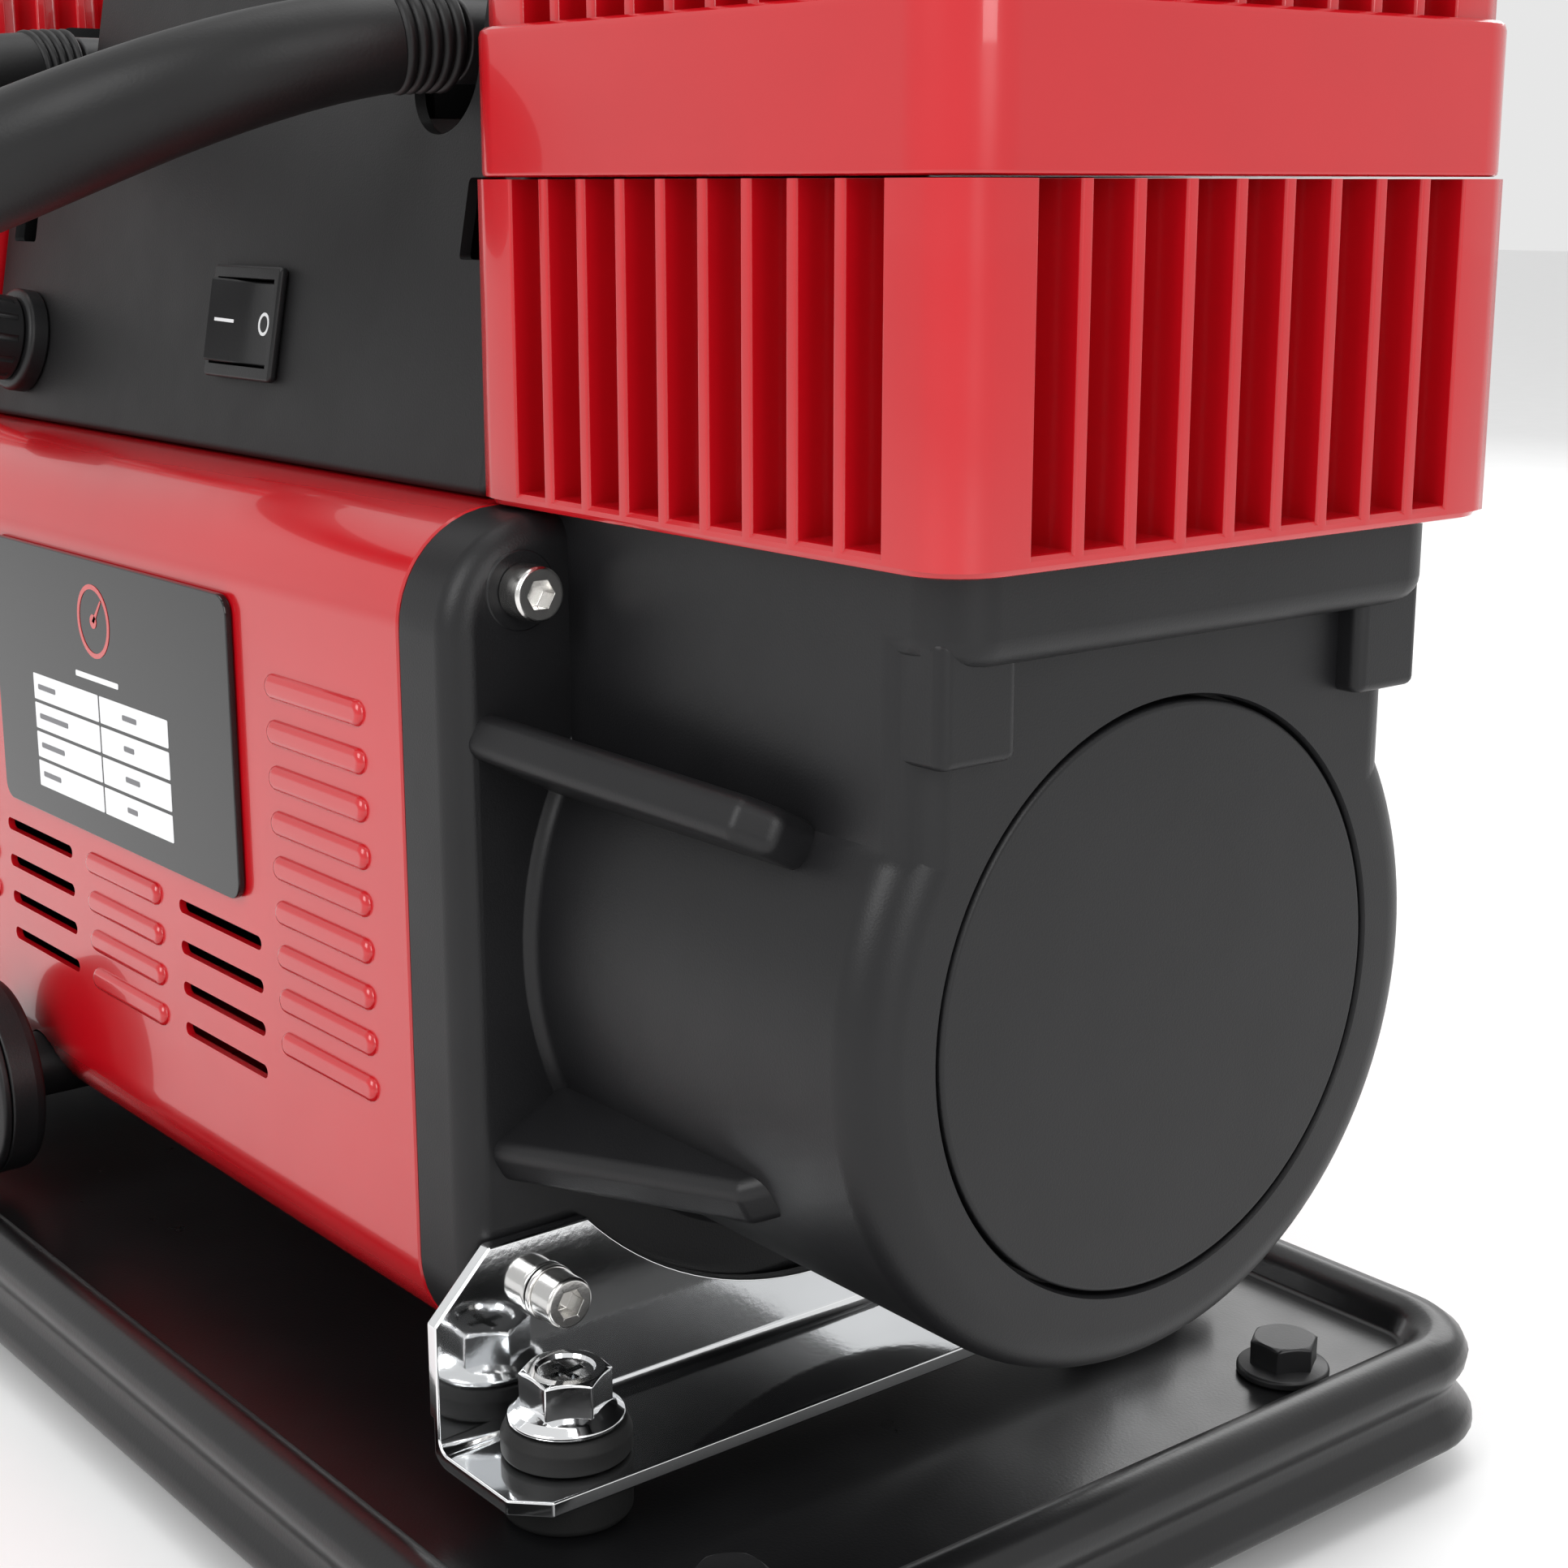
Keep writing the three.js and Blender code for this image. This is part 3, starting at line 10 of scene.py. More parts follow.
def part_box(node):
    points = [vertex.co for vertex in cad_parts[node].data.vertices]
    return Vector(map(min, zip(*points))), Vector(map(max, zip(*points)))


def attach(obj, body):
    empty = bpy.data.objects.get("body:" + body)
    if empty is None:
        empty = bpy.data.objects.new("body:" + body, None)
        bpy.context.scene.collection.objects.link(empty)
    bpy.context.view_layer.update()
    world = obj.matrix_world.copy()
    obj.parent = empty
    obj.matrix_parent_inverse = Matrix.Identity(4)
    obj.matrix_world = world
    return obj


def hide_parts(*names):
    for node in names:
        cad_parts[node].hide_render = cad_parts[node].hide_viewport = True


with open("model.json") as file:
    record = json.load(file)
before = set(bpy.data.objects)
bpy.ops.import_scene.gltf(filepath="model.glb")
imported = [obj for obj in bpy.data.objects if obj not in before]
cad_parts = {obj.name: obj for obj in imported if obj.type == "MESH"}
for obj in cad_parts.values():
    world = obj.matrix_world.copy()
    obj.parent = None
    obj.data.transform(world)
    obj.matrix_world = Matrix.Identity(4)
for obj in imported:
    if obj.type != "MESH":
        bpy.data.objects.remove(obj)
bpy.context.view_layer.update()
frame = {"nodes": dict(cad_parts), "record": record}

MM = 0.001
BODY = "frame"
SIDES = {"left": -1, "right": 1}
CORNERS = {"front_left": (-1, -1), "front_right": (1, -1), "rear_left": (-1, 1), "rear_right": (1, 1)}


# ---- places taken from the frame, in millimetres ----------------------------------------------------
def box(node):
    low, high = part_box(node)
    return low / MM, high / MM


def middle(node):
    low, high = box(node)
    return (low + high) / 2


tray_low, tray_high = box("base_tray")
ORIGIN_Y = (tray_low.y + tray_high.y) / 2  # the body's centre plane, in the row frame
cover_low, cover_high = box("motor_cover")
case_low, case_high = box("crankcase_right")
disc_low, disc_high = box("crankcase_cover_right")
SHAFT_Z = (disc_low.z + disc_high.z) / 2
BODY_HALF = (cover_high.y - cover_low.y) / 2
COVER_END = cover_high.x
BODY_CORNER = 21.0
PLATE_START = case_low.x
cylinder_low, cylinder_high = box("cylinder_right")
CYLINDER_X = (cylinder_low.x + cylinder_high.x) / 2
CYLINDER_HALF = (cylinder_high.x - cylinder_low.x) / 2
head_low, head_high = box("head_right")
HEAD_HALF = (head_high.x - head_low.x) / 2
bracket_low, bracket_high = box("mount_bracket_right")
GAP = 0.3  # left between the faces of neighbouring pieces
PLATE_END = bracket_low.x - GAP
DRUM_END = disc_high.x
shroud_low, shroud_high = box("shroud")
SHROUD_HALF = shroud_high.x
SHROUD_DEPTH = (shroud_high.y - shroud_low.y) / 2
AXLE_PAST_ARM = 8
axle_low, axle_high = box("handle_axle")
ARM_X = axle_high.x - AXLE_PAST_ARM
PIVOT_Y = (axle_low.y + axle_high.y) / 2 - ORIGIN_Y
PIVOT_Z = (axle_low.z + axle_high.z) / 2

# ---- sizes that the boxes don't give ------------------------------------------------------------------
LEAN = math.radians(10.6)  # from upright, of the shroud's front and rear
TRAY_RIM_HEIGHT = 6.5
TRAY_SKIRT_DEPTH = 15
TRAY_CORNER = 24
FOOT_BOLT_HEIGHT = 7.5  # above the tray's floor
BRACKET_SHEET = 3.0
BRACKET_ARC_RADIUS = 80
SCREW_RADIUS = 5
SCREW_SOCKET_RADIUS = 2.9
SCREW_HEAD = 6
LOCK_WASHER = 1.3
PLATE_EDGE = 5.5
DRUM_RADIUS = 68
DECK_HALF = 58.5
DECK_THICKNESS = 15.2
PAD_Y = 49.2
PAD_HALF_WIDTH = 8.3
CHAMBER_RADIUS = 50
DISC_RADIUS = 52
DISC_SEAT_RADIUS = 52.7
BORE_RADIUS = 30
CYLINDER_CORNER = 11
HEAD_BAND_HEIGHT = 25.3
COVER_WALL = 1.6
SHROUD_WALL = 2.4
SHROUD_SHOULDER = 68
SWITCH_ABOVE_BASE = 27.7
GLAND_ABOVE_BASE = 18.7
WINDOW_HALF_WIDTH = 6.5
WINDOW_FROM_END = 12.5  # its middle to the shroud's end
WINDOW_BOTTOM = 42.7
WINDOW_TOP = 57.7
LABEL_THICKNESS = 1.5
PIPE_FROM_BOX_MIDDLE = 2.5  # the delivery pipe's axis, in Y, past the middle of its box
PIPE_Y = middle("delivery_pipe").y - ORIGIN_Y + PIPE_FROM_BOX_MIDDLE
PIPE_Z = middle("outlet_coupler").z


# ---- mesh building, in millimetres about the body's centre plane ------------------------------------
def solid(name, verts, faces):
    """A closed mesh object from millimetre points, with its faces turned outward."""
    mesh = bpy.data.meshes.new(name)
    mesh.from_pydata([Vector(v) * MM for v in verts], [], faces)
    bm = bmesh.new()
    bm.from_mesh(mesh)
    bmesh.ops.remove_doubles(bm, verts=bm.verts, dist=1e-6)
    bmesh.ops.dissolve_degenerate(bm, edges=bm.edges, dist=1e-7)
    bmesh.ops.recalc_face_normals(bm, faces=bm.faces)
    if bm.calc_volume(signed=True) < 0:
        bmesh.ops.reverse_faces(bm, faces=bm.faces)
    bm.to_mesh(mesh)
    bm.free()
    obj = bpy.data.objects.new(name, mesh)
    bpy.context.collection.objects.link(obj)
    return obj


def loft(name, rings, ring=False):
    """Rings of equal length joined into a skin, capped at both ends or closed on itself."""
    size = len(rings[0])
    verts = [v for one in rings for v in one]
    count = len(rings)
    faces = []
    for i in range(count if ring else count - 1):
        a, b = i * size, ((i + 1) % count) * size
        faces += [(a + j, a + (j + 1) % size, b + (j + 1) % size, b + j) for j in range(size)]
    if not ring:
        faces.append(tuple(reversed(range(size))))
        faces.append(tuple(range((count - 1) * size, count * size)))
    return solid(name, verts, faces)


def soften(points, steps=5):
    """Rounds each (u, v, radius) corner of a closed outline with an arc."""
    out = []
    for i, point in enumerate(points):
        here = Vector(point[:2])
        radius = point[2] if len(point) > 2 else 0
        to_last = Vector(points[i - 1][:2]) - here
        to_next = Vector(points[(i + 1) % len(points)][:2]) - here
        angle = to_last.angle(to_next, 0) if radius else 0
        if not radius or angle < 0.01 or angle > math.pi - 0.01:
            out.append(tuple(here))
            continue
        reach = radius / math.tan(angle / 2)
        reach = min(reach, to_last.length * 0.499, to_next.length * 0.499)
        radius = reach * math.tan(angle / 2)
        inward = (to_last.normalized() + to_next.normalized()).normalized()
        centre = here + inward * radius / math.sin(angle / 2)
        start = here + to_last.normalized() * reach - centre
        sweep = start.angle_signed(here + to_next.normalized() * reach - centre)
        for k in range(steps + 1):
            out.append(tuple(centre + Matrix.Rotation(-sweep * k / steps, 2) @ start))
    return out


def turned(name, profile, axis, at=(0, 0, 0), segments=64, steps=5):
    """A profile of (radius, along, corner radius) turned about 'x', '-y' or 'z'."""
    rows = soften(profile, steps)
    rings = []
    for k in range(segments):
        c, s = math.cos(2 * math.pi * k / segments), math.sin(2 * math.pi * k / segments)
        if axis == "x":
            rings.append([(h, r * c, r * s) for r, h in rows])
        elif axis == "-y":
            rings.append([(r * c, -h, r * s) for r, h in rows])
        else:
            rings.append([(r * c, r * s, h) for r, h in rows])
    return move(loft(name, rings, ring=True), at)


def rod(name, radius, start, end, axis, at=(0, 0, 0), segments=64, edge=0.0):
    profile = [(0, start), (radius, start, edge), (radius, end, edge), (0, end)]
    return turned(name, profile, axis, at, segments)


def prism(name, outline, start, end, axis, at=(0, 0, 0)):
    """A closed outline drawn in (Y, Z), (X, Z) or (X, Y) and drawn out along X, -Y or Z."""
    def place(u, v, w):
        return {"x": (w, u, v), "-y": (u, -w, v), "z": (u, v, w)}[axis]
    return move(loft(name, [[place(u, v, w) for u, v in outline] for w in (start, end)]), at)


def block(name, low, high):
    outline = [(low[0], low[1]), (high[0], low[1]), (high[0], high[1]), (low[0], high[1])]
    return prism(name, outline, low[2], high[2], "z")


def rounded_rect(u0, v0, u1, v1, radius, steps=8):
    return soften([(u0, v0, radius), (u1, v0, radius), (u1, v1, radius), (u0, v1, radius)], steps)


def move(obj, at):
    obj.data.transform(Matrix.Translation(Vector(at) * MM))
    return obj


def mirrored(obj, sign):
    if sign < 0:
        obj.data.transform(Matrix.Diagonal((-1, 1, 1, 1)))
        obj.data.flip_normals()
    return obj


def settle(obj):
    """Turns the object's modifiers into plain mesh."""
    evaluated = obj.evaluated_get(bpy.context.evaluated_depsgraph_get())
    mesh = bpy.data.meshes.new_from_object(evaluated)
    obj.modifiers.clear()
    obj.data = mesh
    return obj


def combine(obj, others, operation):
    for other in others:
        modifier = obj.modifiers.new("combine", "BOOLEAN")
        modifier.solver = "MANIFOLD"
        modifier.operation = operation
        modifier.object = other
        settle(obj)
        bpy.data.objects.remove(other)
    return obj


def join(obj, *others):
    return combine(obj, others, "UNION")


def cut(obj, *tools):
    return combine(obj, tools, "DIFFERENCE")


def bevelled(obj, width, segments=3, angle=35):
    modifier = obj.modifiers.new("bevel", "BEVEL")
    modifier.width = width * MM
    modifier.segments = segments
    modifier.limit_method = "ANGLE"
    modifier.angle_limit = math.radians(angle)
    modifier.use_clamp_overlap = True
    return settle(obj)


def finish_piece(obj, material, replaces=(), body=BODY, smooth=38, centred=True):
    """Shades the piece, gives it its material, and sets it in the frame."""
    if centred:
        obj.data.transform(Matrix.Translation((0, ORIGIN_Y * MM, 0)))
    for polygon in obj.data.polygons:
        polygon.use_smooth = True
    obj.data.set_sharp_from_angle(angle=math.radians(smooth))
    weighted = obj.modifiers.new("normals", "WEIGHTED_NORMAL")
    weighted.keep_sharp = True
    obj.data.materials.clear()
    obj.data.materials.append(material)
    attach(obj, body)
    if replaces:
        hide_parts(*replaces)
    return obj


def surface(name, color, roughness, metallic=0.0, coat=0.0, grain=400.0, bump=0.1, tone=0.08,
            spread=0.06, coat_roughness=0.03, bump_depth=0.00012, specular=0.5):
    """A paint, metal or plastic whose tone, gloss and fine relief all vary over the surface."""
    material = bpy.data.materials.new(name)
    material.use_nodes = True
    nodes, links = material.node_tree.nodes, material.node_tree.links
    shader = nodes["Principled BSDF"]
    place = nodes.new("ShaderNodeTexCoord").outputs["Object"]

    def noise(scale, detail):
        node = nodes.new("ShaderNodeTexNoise")
        node.inputs["Scale"].default_value = scale
        node.inputs["Detail"].default_value = detail
        links.new(place, node.inputs["Vector"])
        return node.outputs["Fac"]

    ramp = nodes.new("ShaderNodeValToRGB")
    links.new(noise(35, 4), ramp.inputs["Fac"])
    ramp.color_ramp.elements[0].position = 0.3
    ramp.color_ramp.elements[1].position = 0.7
    for element, factor in zip(ramp.color_ramp.elements, (1 - tone, 1 + tone)):
        element.color = (*[min(1, c * factor) for c in color], 1)
    links.new(ramp.outputs["Color"], shader.inputs["Base Color"])

    gloss = nodes.new("ShaderNodeMapRange")
    links.new(noise(90, 5), gloss.inputs["Value"])
    gloss.inputs["To Min"].default_value = max(0.02, roughness - spread)
    gloss.inputs["To Max"].default_value = roughness + spread
    links.new(gloss.outputs["Result"], shader.inputs["Roughness"])

    relief = nodes.new("ShaderNodeBump")
    relief.inputs["Strength"].default_value = bump
    relief.inputs["Distance"].default_value = bump_depth
    links.new(noise(grain, 3), relief.inputs["Height"])
    links.new(relief.outputs["Normal"], shader.inputs["Normal"])

    shader.inputs["Metallic"].default_value = metallic
    shader.inputs["Specular IOR Level"].default_value = specular
    shader.inputs["Coat Weight"].default_value = coat
    shader.inputs["Coat Roughness"].default_value = coat_roughness
    return material


RED = surface("red_enamel", (0.46, 0.003, 0.008), 0.24, 0.0, 0.55, 330, 0.05, 0.03)
CASE = surface("crankcase_coat", (0.007, 0.007, 0.0078), 0.40, 0, 0, 2600, 0.3, 0.12,
               0.05, specular=0.32)
SHROUD = surface("shroud_coat", (0.009, 0.009, 0.0095), 0.50, 0, 0, 2400, 0.4, 0.12,
                 specular=0.32)
TRAY = surface("tray_coat", (0.006, 0.006, 0.0065), 0.30, 0, 0.15, 1500, 0.25, 0.12,
               0.06, 0.15, specular=0.35)
RUBBER = surface("rubber", (0.008, 0.008, 0.008), 0.60, 0, 0, 1800, 0.3, 0.15,
                 specular=0.3)
GRIP = surface("grip_foam", (0.006, 0.006, 0.0063), 0.46, 0, 0, 1400, 0.3, 0.12,
               specular=0.3)
CHROME = surface("chrome", (0.86, 0.87, 0.88), 0.08, 1.0, 0, 700, 0.08, 0.03, 0.04)
STAINLESS = surface("stainless", (0.70, 0.69, 0.67), 0.20, 1.0, 0, 1200, 0.15, 0.06)
BLACK_STEEL = surface("black_steel", (0.018, 0.018, 0.019), 0.38, 0.3, 0, 1500, 0.2, 0.15)
PLASTIC = surface("plastic", (0.007, 0.007, 0.0076), 0.40, 0, 0, 2200, 0.25, 0.1,
                  specular=0.35)
STEEL = surface("steel", (0.42, 0.42, 0.43), 0.32, 1.0, 0, 900, 0.15, 0.08)
ALUMINIUM = surface("aluminium", (0.68, 0.69, 0.70), 0.35, 1.0, 0, 1100, 0.2, 0.06)
BRASS = surface("brass", (0.72, 0.52, 0.22), 0.25, 1.0, 0, 900, 0.12, 0.06)
LABEL = surface("label_black", (0.005, 0.005, 0.0055), 0.14, 0, 0.3, 500, 0.05, 0.1, 0.03,
                specular=0.3)
INK_WHITE = surface("label_white", (0.78, 0.79, 0.80), 0.22, 0, 0.6, 500, 0.05, 0.02, 0.03)
INK_RED = surface("label_red", (0.52, 0.03, 0.03), 0.22, 0, 0.6, 500, 0.05, 0.05, 0.03)
INK_GREY = surface("label_grey", (0.10, 0.10, 0.11), 0.3, 0, 0.3, 500, 0.05, 0.05, 0.03)
FOR_SLOT = {"red_enamel": RED, "black_powder_coat": CASE, "tray_paint": TRAY, "rubber": RUBBER,
            "chrome": CHROME, "stainless": STAINLESS, "black_steel": BLACK_STEEL, "plastic": PLASTIC,
            "steel": STEEL, "aluminium": ALUMINIUM, "brass": BRASS, "label": LABEL}


# ---- tray, feet and fastenings ----------------------------------------------------------------------
def build_tray():
    half_x = (tray_high.x - tray_low.x) / 2
    half_y = (tray_high.y - tray_low.y) / 2
    top = tray_high.z
    floor = top - TRAY_RIM_HEIGHT
    lip = floor - TRAY_SKIRT_DEPTH
    # (inset from the tray's edge, height): floor, rim bead, groove under it, skirt, and back inside.
    skin = [(16, floor), (14.6, floor + 0.9), (13.4, floor + 3.4), (11.6, top - 1.1), (8.6, top),
            (5.4, top - 0.5), (2.9, top - 2.4), (1.7, floor + 1.6), (2.2, floor - 1.2), (3.6, floor - 3.6),
            (4.1, floor - 5.6), (3.2, floor - 8.2), (1.2, floor - 10.6), (0.2, floor - 12), (0, lip + 1),
            (0.5, lip), (2, lip), (2.1, lip + 2.4), (5, floor - 8), (6.1, floor - 5.6), (4.6, floor - 1),
            (5.4, floor + 1.8), (8.6, top - 2), (11, floor + 2), (13, floor - 1.6), (17, floor - 2)]

    def ring(inset, z):
        outline = rounded_rect(inset - half_x, inset - half_y, half_x - inset, half_y - inset,
                               TRAY_CORNER - inset, 10)
        return [(x, y, z) for x, y in outline]

    tray = loft("tray", [ring(inset, z) for inset, z in skin])
    finish_piece(tray, TRAY, ["base_tray"], smooth=60)


def hexagon(name, across, start, end, at, edge=0.5):
    """A hexagonal head with its upper corners turned off."""
    radius = across / math.sqrt(3)
    outline = [(radius * math.cos(a * math.pi / 3), radius * math.sin(a * math.pi / 3)) for a in range(6)]
    head = prism(name, outline, start, end, "z")
    turning = turned("turning", [(0, start - 1), (radius + 1, start - 1), (radius + 1, end - 1.1),
                                 (across * 0.5 - 0.3, end), (0, end)], "z", segments=48)
    combine(head, [turning], "INTERSECT")
    return move(bevelled(head, edge, 2), at)


def build_foot_bolt(place, x, y, base):
    flange = turned("foot_bolt_" + place + "_fine", [(0, -12), (4, -12, 0.4), (4, 0), (9.5, 0, 0.4),
                    (9.5, 1.6, 0.8), (6, 2.6, 0.6), (0, 2.6)], "z", (x, y, base), 48)
    join(flange, hexagon("head", 12.5, 1, 7.6, (x, y, base)))
    finish_piece(flange, BLACK_STEEL, ["foot_bolt_" + place], centred=False)


def build_foot(place, x, y):
    foot = turned("foot_" + place + "_fine", [
        (0, 0), (13.6, 0, 1.2), (15, 3, 1.5), (15, 15, 1), (13.6, 17, 1), (13.6, 21.7, 0.8), (4.4, 21.7),
        (4.4, 8), (0, 8)], "z", (x, y, 0), 48)
    finish_piece(foot, RUBBER, ["foot_" + place], centred=False)


def build_isolator(place, x, y, low, high):
    isolator = turned("isolator_" + place + "_fine", [
        (4.4, low), (12.2, low, 1.6), (12.2, low + 8.2, 1.2), (6.7, low + 8.2), (6.7, high - 6.2),
        (12.2, high - 6.2, 1.0), (12.2, high - 2.2, 1.6), (11.2, high, 0.8), (4.4, high)],
        "z", (x, y, 0), 56)
    finish_piece(isolator, RUBBER, ["isolator_" + place], centred=False)


def build_bracket_bolt(place, x, y, base):
    bolt = turned("bracket_bolt_" + place + "_fine", [
        (0, -24), (4, -24, 0.5), (4, 0), (10.9, 0, 0.5), (10.9, 1.0, 0.5), (9.4, 2.2, 1.5), (7.4, 3.2, 1),
        (0, 3.2)], "z", (x, y, base), 64)
    join(bolt, hexagon("head", 15, 1.5, 9.6, (x, y, base), 0.6))
    dish = turned("dish", [(0, 8.6), (5.2, 8.9), (6.0, 10.2), (0, 10.2)], "z", (x, y, base), 48)
    slots = [block("slot", (x - a, y - b, base + 5.6), (x + a, y + b, base + 10.5))
             for a, b in ((3.6, 0.85), (0.85, 3.6))]
    cut(bolt, dish, *slots)
    finish_piece(bevelled(bolt, 0.18, 2, 50), CHROME, ["bracket_bolt_" + place], centred=False)


def hexagonal_socket(start, end, axis):
    angles = [a * math.pi / 3 for a in range(6)]
    outline = [(SCREW_SOCKET_RADIUS * math.cos(a), SCREW_SOCKET_RADIUS * math.sin(a)) for a in angles]
    return prism("socket", outline, start, end, axis)


def build_screw(name, sign, x_face, y, z, washer, replaces):
    """A socket-head screw with an open hexagon, and a lock washer under the lower ones."""
    start = x_face + washer
    end = start + SCREW_HEAD
    if washer:
        profile = [(0, x_face - 14), (3, x_face - 14, 0.4), (3, x_face), (5.4, x_face, 0.3),
                   (5.4, start - 0.05, 0.3), (4.6, start), (SCREW_RADIUS, start + 0.15, 0.1),
                   (SCREW_RADIUS, end, 0.7), (0, end)]
    else:
        profile = [(0, x_face - 11), (3, x_face - 11, 0.4), (3, x_face), (SCREW_RADIUS, start, 0.3),
                   (SCREW_RADIUS, end, 0.7), (0, end)]
    screw = turned(name, profile, "x", segments=56)
    cut(screw, hexagonal_socket(start + 2.4, start + 7, "x"))
    bevelled(screw, 0.15, 2, 50)
    mirrored(screw, sign)
    move(screw, (0, y, z))
    finish_piece(screw, STAINLESS, replaces, centred=False)


def build_bracket(side, sign):
    low, high = bracket_low, bracket_high
    half = (high.y - low.y) / 2
    thick = BRACKET_SHEET
    section = soften([(low.x, low.z, 5.5), (high.x, low.z), (high.x, low.z + thick),
                      (low.x + thick, low.z + thick, 2.6), (low.x + thick, high.z), (low.x, high.z)], 8)
    bracket = prism("mount_bracket_" + side + "_fine", section, -half, half, "-y")
    wall_cuts = [rod("arc", BRACKET_ARC_RADIUS, low.x - 2, low.x + thick + 2, "x", (0, 0, SHAFT_Z), 128)]
    for s in (-1, 1):
        corner = [(s * (half + 1), high.z + 1), (s * (half - 13), high.z + 1),
                  (s * (half + 1), high.z - 13.4)]
        wall_cuts.append(prism("corner", corner, low.x - 2, low.x + thick + 2, "x"))
        wall_cuts.append(prism("toe", [(high.x - 7, s * (half + 1)), (high.x + 1, s * (half + 1)),
                                       (high.x + 1, s * (half - 7))], low.z - 2, low.z + thick + 2, "z"))
        wall_cuts.append(prism("heel", [(low.x - 2, s * (half + 1)), (low.x + 2, s * (half + 1)),
                                        (low.x - 2, s * (half - 5))], low.z - 2, low.z + 9, "z"))
    cut(bracket, *wall_cuts)
    bevelled(bracket, 0.45, 3, 30)
    finish_piece(mirrored(bracket, sign), CHROME, ["mount_bracket_" + side])


def build_fastenings():
    for place in CORNERS:
        bolt_low, bolt_high = box("foot_bolt_" + place)
        centre = (bolt_low + bolt_high) / 2
        build_foot_bolt(place, centre.x, centre.y, bolt_high.z - FOOT_BOLT_HEIGHT)
        build_foot(place, centre.x, centre.y)
        iso_low, iso_high = box("isolator_" + place)
        centre = middle("isolator_" + place)
        build_isolator(place, centre.x, centre.y, iso_low.z, iso_high.z)
        build_bracket_bolt(place, centre.x, centre.y, iso_high.z + GAP)
        sign = CORNERS[place][0]
        kinds = (("bracket_screw_", LOCK_WASHER, PLATE_END + (BRACKET_SHEET + 2 * GAP)),
                 ("plate_screw_", 0, PLATE_END + GAP))
        for kind, washer, face in kinds:
            centre = middle(kind + place)
            build_screw(kind + place + "_fine", sign, face, centre.y, centre.z, washer, [kind + place])
    for side, sign in SIDES.items():
        build_bracket(side, sign)


# ---- crankcases -------------------------------------------------------------------------------------
def edge_arc(radius, steps=6):
    """(inset, distance back from the end) along a quarter-round edge."""
    return [(radius * (1 - math.cos(a)), radius * (1 - math.sin(a)))
            for a in (math.pi / 2 * k / steps for k in range(steps + 1))]


# Each rib's angle above or below level, then its crest, tip, length and thickness.
RIBS = ((28, 89, 81, 74, 8.4), (-28, 86.5, 72, 66, 9.5))


